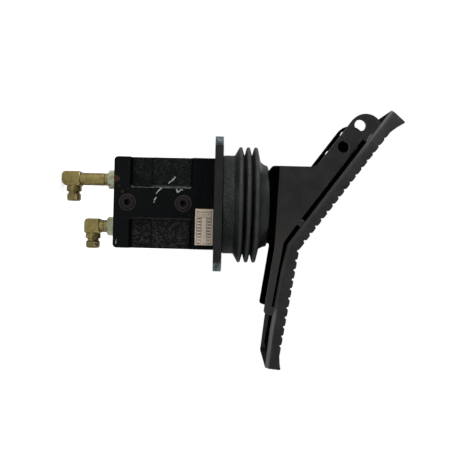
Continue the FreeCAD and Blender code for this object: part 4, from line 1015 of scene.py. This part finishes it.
def tread_stations():
    """Each station is its run along the pedal, its top height, its skirt depth, and its ceiling depth."""
    s = sizes()
    toe_end = TOE_LENGTH + TOE_FLARE
    heel_end = HEEL_LENGTH + HEEL_FLARE
    taper = 84 * MM
    wall = s.skirt_wall

    def depth(run):
        share = min(max((run - taper) / (heel_end - taper), 0), 1)
        bend = 1.5 * MM * max(0.0, 1 - abs(run) / (22 * MM))
        return s.skirt_depth - bend + (s.heel_depth - s.skirt_depth) * share

    def flare(share, rise):
        return rise * (0.75 * share + 0.25 * share * share)

    stations = [(-toe_end, TOE_RISE - 0.9 * MM, depth(0) - 0.8 * MM, None),
                (-toe_end + 0.25 * MM, TOE_RISE - 0.3 * MM, depth(0) - 0.2 * MM, None),
                (-toe_end + 0.9 * MM, TOE_RISE, depth(0), None)]
    for run in (-toe_end + wall, -toe_end + wall + 0.01 * MM):
        stations.append((run, flare((-run - TOE_LENGTH) / TOE_FLARE, TOE_RISE), depth(0),
                         None if run == -toe_end + wall else s.web_depth))
    for share in (0.65, 0.45, 0.25, 0.1, 0.0):
        stations.append((-TOE_LENGTH - share * TOE_FLARE, flare(share, TOE_RISE), depth(0), s.web_depth))
    for run, height in rib_stations(s.toe_first - TOE_LENGTH, s.toe_pitch, s.toe_grooves, s.rib_depth):
        if run < -3 * MM:
            stations.append((run, height, depth(0), s.web_depth))
    stations.append((0.0, -0.2 * MM, depth(0), s.web_depth))
    for run, height in rib_stations(s.heel_first, s.heel_pitch, s.heel_grooves, s.rib_depth):
        if 0.2 * MM < run < HEEL_LENGTH - 1.5 * MM:
            stations.append((run, height, depth(run), s.web_depth))
    for share in (0.0, 0.12, 0.3, 0.5, 0.7):
        run = HEEL_LENGTH + share * HEEL_FLARE
        stations.append((run, flare(share, HEEL_RISE), depth(run), s.web_depth))
    for run in (heel_end - wall - 0.01 * MM, heel_end - wall):
        stations.append((run, flare((run - HEEL_LENGTH) / HEEL_FLARE, HEEL_RISE), depth(run),
                         None if run == heel_end - wall else s.web_depth))
    stations += [(heel_end - 0.9 * MM, HEEL_RISE, depth(heel_end), None),
                 (heel_end - 0.25 * MM, HEEL_RISE - 0.3 * MM, depth(heel_end) - 0.2 * MM, None),
                 (heel_end, HEEL_RISE - 0.9 * MM, depth(heel_end) - 0.8 * MM, None)]
    return stations


def tread_section(run, top, depth, ceiling):
    """One side's outline of the tread from its middle: over the crest, down the skirt and back inside."""
    half = TREAD_HIGH.y
    wall = sizes().skirt_wall
    roof = depth if ceiling is None else ceiling
    lip = depth if ceiling is None else depth - 0.4 * MM
    corner = 0.0 if ceiling is None else 0.5 * MM
    over = [(half / 2, top), (half - 1.4 * MM, top), (half - 0.7 * MM, top - 0.12 * MM),
            (half - 0.2 * MM, top - 0.5 * MM), (half, top - 1.2 * MM)]
    heel_share = min(max((run - 50 * MM) / (15 * MM), 0), 1)
    slant = sizes().skirt_slant + 0.9 * MM * heel_share
    down = [(half, -depth * 0.5), (half, -depth + slant + 0.3 * MM), (half - 0.15 * MM, -depth + slant),
            (half - wall * (0.5 + 0.25 * heel_share), -depth + 0.3 * MM)]
    back = [(half - wall + 0.3 * MM, -depth), (half - wall, -lip), (half - wall, -roof - corner),
            (half - wall - corner, -roof), (half / 2, -roof)]
    return over, down, back


def build_tread():
    """The ribbed rubber tread, lofted along the bent pedal with hollow underside and closed ends."""
    rings = []
    lean = {-1: 1.0 * MM, 1: 0.7 * MM}
    ends = (-TOE_LENGTH - TOE_FLARE, HEEL_LENGTH + HEEL_FLARE)
    for run, top, depth, ceiling in tread_stations():
        over, down, back = tread_section(run, top, depth, ceiling)
        side = over + down + back
        outline = [(0, top)] + side + [(0, side[-1][1])] + [(-y, h) for y, h in reversed(side)]
        ring = []
        for y, height in outline:
            near_end = run < ends[0] + 4 * MM or run > ends[1] - 4 * MM
            sign = -1 if run < 0 else 1
            slide = sign * lean[sign] * (-height / depth) if near_end else 0
            x, z = pedal_point(run + slide, height)
            ring.append((x, y, z))
        rings.append(ring)
    verts, faces = loft(rings)
    tread = new_piece("ribbed_tread", verts, faces, tread_finish())
    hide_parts("tread_pad")
    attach(tread, "pedal")
    bpy.context.view_layer.update()


def helix_ridge(name, origin, axis, radius, rise, start, end, material, slot, body):
    """A thread: one ridge wound about an axis from start to end, fading in and out."""
    pitch = sizes().thread_pitch
    around = 28
    steps = int(around * (end - start) / pitch)
    side = axis.orthogonal().normalized()
    other = axis.cross(side)
    root = radius - math.copysign(0.12 * MM, rise)
    rings = []
    for i in range(steps + 1):
        angle = 2 * math.pi * i / around
        fade = min(1.0, i / (around * 0.35), (steps - i) / (around * 0.35))
        crest = radius + rise * fade
        middle = start + (end - start) * i / steps
        out = side * math.cos(angle) + other * math.sin(angle)
        rings.append([origin + axis * (middle + place) + out * reach
                      for place, reach in ((-0.42 * pitch, root), (-0.08 * pitch, crest),
                                           (0.08 * pitch, crest), (0.42 * pitch, root))])
    verts, faces = loft(rings)
    piece = new_piece(name, verts, faces, material)
    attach(piece, body)


def weld_bead(name, start, end, material, body, seed):
    """A fillet bead with the ripples of its passes."""
    radius = sizes().bead_radius
    run = end - start
    steps = max(6, int(run.length / (0.7 * MM)))
    axis = run.normalized()
    side = axis.orthogonal().normalized()
    other = axis.cross(side)
    rings = []
    for i in range(steps + 1):
        share = i / steps
        end_round = math.sqrt(max(0.0, 1 - max(0.0, 1 - min(share, 1 - share) * run.length / radius) ** 2))
        ripple = 0.88 + 0.12 * abs(math.sin(math.pi * share * run.length / (1.6 * MM)))
        wander = 1 + 0.10 * noise.noise(Vector((seed, share * 9, 0)))
        r = radius * max(end_round, 0.15) * ripple * wander
        centre = start + run * share
        rings.append([centre + (side * math.cos(a) + other * math.sin(a)) * r
                      for a in (2 * math.pi * j / 12 for j in range(12))])
    verts, faces = loft(rings)
    piece = new_piece(name, verts, faces, material)
    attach(piece, body)


def cast_skin(name, side, face, material):
    """Rough-cast floor of one recess: a thin grained skin that lies on the recess's floor."""
    grain = sizes().cast_grain
    x_near = BAND_HALF + 0.5 * MM
    x_far = BODY_HIGH.x - 0.2 * MM
    z_low = RECESS_FOOT + 0.4 * MM
    z_high = RECESS_TOP - 0.4 * MM
    pitch = 0.7 * MM
    columns = int((x_far - x_near) / pitch)
    rows = int((z_high - z_low) / pitch)
    top = []
    under = []
    for i in range(columns + 1):
        for j in range(rows + 1):
            x = x_near + (x_far - x_near) * i / columns
            z = z_low + (z_high - z_low) * j / rows
            spot = Vector((x * side, z, face)) / (2.3 * MM)
            rough = 0.55 * noise.noise(spot) + 0.3 * noise.noise(spot * 2.1) + 0.2 * noise.noise(spot * 4.3)
            edge = min(i / 3, j / 3, (rows - j) / 3, (columns - i) / 2, 1.0)
            below_step = min(max((RECESS_STEP - z) / (1.2 * MM) + 0.5, 0), 1)
            floor = RECESS_DEPTH + STEP_DEPTH * below_step
            lift = (grain * (0.5 + rough) + 0.08 * MM) * edge - 0.12 * MM * (1 - edge)
            top.append((x * side, face * (FACE_Y - floor + lift), z))
            under.append((x * side, face * (FACE_Y - floor - 0.4 * MM), z))
    width = rows + 1
    verts = top + under
    shift = len(top)
    faces = []
    for i in range(columns):
        for j in range(rows):
            a = i * width + j
            faces.append((a, a + 1, a + width + 1, a + width))
            faces.append((shift + a, shift + a + width, shift + a + width + 1, shift + a + 1))
    border = list(range(width)) + [i * width + rows for i in range(1, columns + 1)]
    border += [columns * width + j for j in range(rows - 1, -1, -1)]
    border += [i * width for i in range(columns - 1, 0, -1)]
    for a, b in zip(border, border[1:] + border[:1]):
        faces.append((a, shift + a, shift + b, b))
    if side * face < 0:
        faces = [tuple(reversed(f)) for f in faces]
    piece = new_piece(name, verts, faces, material)
    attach(piece, "valve_housing")


def build_spring(end, kind, material):
    """A spring copied from its packed frame node, with its finish, in place of that node."""
    name = f"{end}_{kind}_spring"
    packed = frame["nodes"][name]
    mesh = packed.data.copy()
    mesh.materials.clear()
    mesh.materials.append(material)
    spring = bpy.data.objects.new(name + "_wire", mesh)
    bpy.context.scene.collection.objects.link(spring)
    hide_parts(name)
    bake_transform(spring)


class ValveStep(bpy.types.Operator):
    """What each building step shares."""

    bl_options = {"REGISTER", "UNDO"}

    def execute(self, context):
        self.build()
        return {"FINISHED"}


class VALVE_OT_cast_body(ValveStep):
    """Paint the cast body and lay the rough-cast floors in its recesses"""

    bl_idname = "valve.cast_body"
    bl_label = "Cast Body"

    def build(self):
        paint = cast_paint()
        dress(["valve_body"], paint, sizes().edge_round)
        for side, end in ((-1, "toe"), (1, "heel")):
            for face, place in ((-1, "near"), (1, "far")):
                cast_skin(f"cast_skin_{end}_{place}", side, face, paint)


class VALVE_OT_mounting_plate(ValveStep):
    """Paint the mounting plate"""

    bl_idname = "valve.mounting_plate"
    bl_label = "Mounting Plate"

    def build(self):
        dress(["mounting_plate"], plate_paint(), sizes().edge_round)


class VALVE_OT_plugs_and_seals(ValveStep):
    """Finish the gallery plugs, the ball plug, screws and seals"""

    bl_idname = "valve.plugs_and_seals"
    bl_label = "Plugs, Screws and Seals"

    def build(self):
        oxide = black_oxide()
        rings = [(0, level, radius * MM, half * MM, strength) for level in PORT_LEVELS
                 for radius, half, strength in PLUG_RINGS]
        dress(["gallery_plugs"], black_oxide("plug_finish", rings), 0.25 * MM)
        dress(["base_screws"], oxide, 0.25 * MM)
        dress(["ball_plug", "bracket_cap_screws", "pivot_set_screw", "adjusting_screws", "adjusting_nuts"],
              oxide)
        seals = ["plug_o_rings", "elbow_o_rings"]
        seals += [end + piece for end in ("toe", "heel") for piece in ("_guide_o_ring", "_rod_wiper")]
        dress(seals, seal_rubber())


class VALVE_OT_nameplate(ValveStep):
    """Finish the bare ruled nameplate and its rivets"""

    bl_idname = "valve.nameplate"
    bl_label = "Nameplate"

    def build(self):
        dress(["nameplate"], label_finish(), 0.2 * MM)
        dress(["nameplate_rivets"], ground_steel("rivet_finish", (0.75, 0.64, 0.50), 0.45))


class VALVE_OT_fittings(ValveStep):
    """Plate the elbows, lock nuts and washers, and cut the outlet and port threads"""

    bl_idname = "valve.fittings"
    bl_label = "Elbows and Threads"

    def build(self):
        zinc = yellow_zinc()
        dress(["toe_elbow", "heel_elbow"], zinc, 0.35 * MM)
        dress(["elbow_lock_nuts", "elbow_washers"], green_zinc(), 0.3 * MM)
        rise = sizes().thread_rise
        for end, sign in (("toe", -1), ("heel", 1)):
            origin = Vector((sign * PORT_X, 0, ELBOW_BOXES[end][0].z + OUTLET_LEVELS[end]))
            helix_ridge(end + "_outlet_thread", origin, Vector((1, 0, 0)), THREAD_RADIUS, rise,
                        *OUTLET_THREAD, zinc, "yellow_zinc", "valve_housing")
        for i, level in enumerate(PORT_LEVELS):
            helix_ridge(("pressure", "tank")[i] + "_port_thread", Vector((0, 0, level)), Vector((0, 1, 0)),
                        THREAD_RADIUS + 0.05 * MM, -rise, *PORT_THREAD,
                        frame["nodes"]["valve_body"].material_slots[0].material, "cast_body", "valve_housing")


class VALVE_OT_inner_works(ValveStep):
    """Finish the pivot, rods, guides and spools, and make the springs"""

    bl_idname = "valve.inner_works"
    bl_label = "Inner Works"

    def build(self):
        dress(["pivot_bracket"], cast_iron())
        dress(["cam_bushes"], sintered_bronze())
        ground = ground_steel("bright_steel_finish", tuple(colours().bright_steel), 0.24)
        wire = ground_steel("spring_steel_finish", (0.26, 0.26, 0.28), 0.36, stretch=(1, 1, 1))
        pieces = ("_push_rod", "_rod_guide", "_spring_seat", "_spool", "_spool_collar")
        dress(["pivot_pin"] + [end + piece for end in ("toe", "heel") for piece in pieces], ground)
        for end in ("toe", "heel"):
            for kind, share in (("return", 0.0), ("metering", SPOOL_SHARE)):
                build_spring(end, kind, wire)


class VALVE_OT_bellows_boot(ValveStep):
    """Model the rubber boot with its three pleats"""

    bl_idname = "valve.bellows_boot"
    bl_label = "Bellows Boot"

    def build(self):
        build_boot()


class VALVE_OT_pedal_bracket(ValveStep):
    """Cut the side plates, paint the pedal's steel bracket and lay its weld beads"""

    bl_idname = "valve.pedal_bracket"
    bl_label = "Pedal Bracket"

    def build(self):
        paint = satin_paint()
        build_side_plate("near_side_plate", -1, paint, 0)
        build_side_plate("far_side_plate", 1, paint, FAR_EASE)
        dress(["pedal_plate", "base_plate", "rocker_cam"], shaded_paint(), sizes().edge_round)
        weld = weld_finish()
        inset = BASE_HIGH.x - 3 * MM
        inner = -SIDE_HIGH.y
        tabs = (("toe", -1, TOE_TAB), ("ear", -1, EAR_TAB), ("heel", 1, HEEL_TAB))
        for side in (-1, 1):
            tag = "near" if side < 0 else "far"
            weld_bead(f"base_weld_{tag}", Vector((-inset, side * inner, BASE_HIGH.z)),
                      Vector((inset, side * inner, BASE_HIGH.z)), weld, "pedal", 3 + side)
            for label, sign, (start, end) in tabs:
                x0, z0 = pedal_point(sign * start, -PLATE_UNDER)
                x1, z1 = pedal_point(sign * end, -PLATE_UNDER)
                weld_bead(f"{label}_tab_weld_{tag}", Vector((x0, side * inner, z0)),
                          Vector((x1, side * inner, z1)), weld, "pedal", start * 100 + side)


class VALVE_OT_ribbed_tread(ValveStep):
    """Model the ribbed rubber tread"""

    bl_idname = "valve.ribbed_tread"
    bl_label = "Ribbed Tread"

    def build(self):
        build_tread()


def area_lamp(name, place, target, size, power):
    """A soft lamp that looks at a point."""
    lamp = bpy.data.lights.new(name, "AREA")
    lamp.shape = "RECTANGLE"
    lamp.size, lamp.size_y = size
    lamp.energy = power
    holder = bpy.data.objects.new(name, lamp)
    holder.location = place
    holder.rotation_euler = (Vector(target) - Vector(place)).to_track_quat("-Z", "Y").to_euler()
    bpy.context.scene.collection.objects.link(holder)


def build_world():
    """A room that is bright behind the object and dim behind the camera, and plain white to the camera."""
    settings = bpy.context.scene.valve_studio
    world = bpy.data.worlds.new("studio")
    bpy.context.scene.world = world
    world.use_nodes = True
    tree = world.node_tree
    tree.nodes.clear()
    direction = tree.nodes.new("ShaderNodeTexCoord")
    parts = tree.nodes.new("ShaderNodeSeparateXYZ")
    tree.links.new(direction.outputs["Generated"], parts.inputs[0])
    shade = tree.nodes.new("ShaderNodeMapRange")
    shade.interpolation_type = "SMOOTHSTEP"
    tree.links.new(parts.outputs["Y"], shade.inputs["Value"])
    for socket, value in (("From Min", -0.5), ("From Max", 0.6), ("To Min", settings.camera_side),
                          ("To Max", settings.ambient)):
        shade.inputs[socket].default_value = value
    room = tree.nodes.new("ShaderNodeBackground")
    room.inputs["Color"].default_value = (0.96, 0.98, 1, 1)
    tree.links.new(shade.outputs["Result"], room.inputs["Strength"])
    seen = tree.nodes.new("ShaderNodeBackground")
    seen.inputs["Color"].default_value = (1, 1, 1, 1)
    rays = tree.nodes.new("ShaderNodeLightPath")
    mixer = tree.nodes.new("ShaderNodeMixShader")
    output = tree.nodes.new("ShaderNodeOutputWorld")
    tree.links.new(rays.outputs["Is Camera Ray"], mixer.inputs[0])
    tree.links.new(room.outputs[0], mixer.inputs[1])
    tree.links.new(seen.outputs[0], mixer.inputs[2])
    tree.links.new(mixer.outputs[0], output.inputs[0])


def build_floor():
    """A pale floor under the elbows that keeps the shadow and looks white where nothing shades it."""
    tint = colours().floor
    f = Finish("floor_finish", specular=0.2)
    base = f.mix(f.product(f.noise(0.05, detail=2), 0.02), tint, (0.84, 0.84, 0.84))
    f.finish(base, 0.8)
    output = f.tree.nodes["Material Output"]
    strength = bpy.context.scene.valve_studio.floor_glow
    glow = f.node("ShaderNodeEmission", {"Color": (1, 1, 1), "Strength": strength})
    both = f.node("ShaderNodeAddShader", {0: f.shader.outputs[0], 1: glow.outputs[0]})
    rays = f.node("ShaderNodeLightPath")
    mixer = f.node("ShaderNodeMixShader", {0: rays.outputs["Is Camera Ray"], 1: f.shader.outputs[0],
                                           2: both.outputs[0]})
    f.tree.links.new(mixer.outputs[0], output.inputs["Surface"])
    half = 2.5
    level = CAD_BOX[0][2] - 0.5 * MM
    steps = 20
    row = steps + 1
    verts = [(-half + 2 * half * i / steps, -half + 2 * half * j / steps, level)
             for i in range(row) for j in range(row)]
    faces = [(i * row + j, (i + 1) * row + j, (i + 1) * row + j + 1, i * row + j + 1)
             for i in range(steps) for j in range(steps)]
    mesh = bpy.data.meshes.new("studio_floor")
    mesh.from_pydata(verts, [], faces)
    mesh.materials.append(f.material)
    floor = bpy.data.objects.new("studio_floor", mesh)
    bpy.context.scene.collection.objects.link(floor)


def build_camera():
    """The photograph's view: along +Y, with the valve's axis lying across the picture."""
    settings = bpy.context.scene.valve_studio
    camera = bpy.data.cameras.new("camera")
    camera.sensor_width = 36.0
    camera.lens = settings.lens
    camera.clip_start = 0.01
    holder = bpy.data.objects.new("camera", camera)
    bpy.context.scene.collection.objects.link(holder)
    s, c = math.sin(settings.roll), math.cos(settings.roll)
    turn = Matrix(((-s, -c, 0), (0, 0, -1), (c, -s, 0)))
    holder.matrix_world = Matrix.Translation((AIM_X, -settings.distance, AIM_Z)) @ turn.to_4x4()
    bpy.context.scene.camera = holder


class VALVE_OT_studio(ValveStep):
    """Set up the floor, the room, the lamps and the camera"""

    bl_idname = "valve.studio"
    bl_label = "Studio"

    def build(self):
        settings = bpy.context.scene.valve_studio
        bpy.context.scene.view_settings.view_transform = "Standard"
        build_world()
        build_floor()
        build_camera()
        middle = (20 * MM, 0, 20 * MM)
        area_lamp("key_lamp", (-0.85, -0.62, 0.35), middle, (0.55, 0.55), settings.key_power)
        area_lamp("base_fill", (0.75, -0.50, 0.75), middle, (0.7, 0.7), settings.fill_power)
        area_lamp("back_fill", (-0.2, 0.95, 0.8), middle, (0.8, 0.8), settings.fill_power)


class VALVE_PT_pieces(bpy.types.Panel):
    """The steps, sizes and colours in the 3D view's sidebar"""

    bl_label = "Pedal Valve"
    bl_idname = "VALVE_PT_pieces"
    bl_space_type = "VIEW_3D"
    bl_region_type = "UI"
    bl_category = "Pedal Valve"

    def draw(self, context):
        column = self.layout.column()
        for step in STEPS:
            column.operator(step.bl_idname)
        for group in (context.scene.valve_sizes, context.scene.valve_colours, context.scene.valve_studio):
            box = self.layout.box()
            for name in group.__annotations__:
                box.prop(group, name)


STEPS = (VALVE_OT_cast_body, VALVE_OT_mounting_plate, VALVE_OT_plugs_and_seals, VALVE_OT_nameplate,
         VALVE_OT_fittings, VALVE_OT_inner_works, VALVE_OT_bellows_boot, VALVE_OT_pedal_bracket,
         VALVE_OT_ribbed_tread, VALVE_OT_studio)
GROUPS = {"valve_sizes": ValveSizes, "valve_colours": ValveColours, "valve_studio": StudioSettings}


def register():
    for group in GROUPS.values():
        bpy.utils.register_class(group)
    for step in STEPS:
        bpy.utils.register_class(step)
    bpy.utils.register_class(VALVE_PT_pieces)
    for name, group in GROUPS.items():
        setattr(bpy.types.Scene, name, PointerProperty(type=group))


def unregister():
    for name in GROUPS:
        delattr(bpy.types.Scene, name)
    bpy.utils.unregister_class(VALVE_PT_pieces)
    for step in reversed(STEPS):
        bpy.utils.unregister_class(step)
    for group in GROUPS.values():
        bpy.utils.unregister_class(group)


def main():
    register()
    kept = set(frame["bodies"].values()) | set(frame["nodes"].values())
    for leftover in [thing for thing in bpy.data.objects if thing not in kept]:
        bpy.data.objects.remove(leftover)
    for step in STEPS:
        getattr(bpy.ops.valve, step.bl_idname.split(".")[1])()


if __name__ == "__main__":
    main()
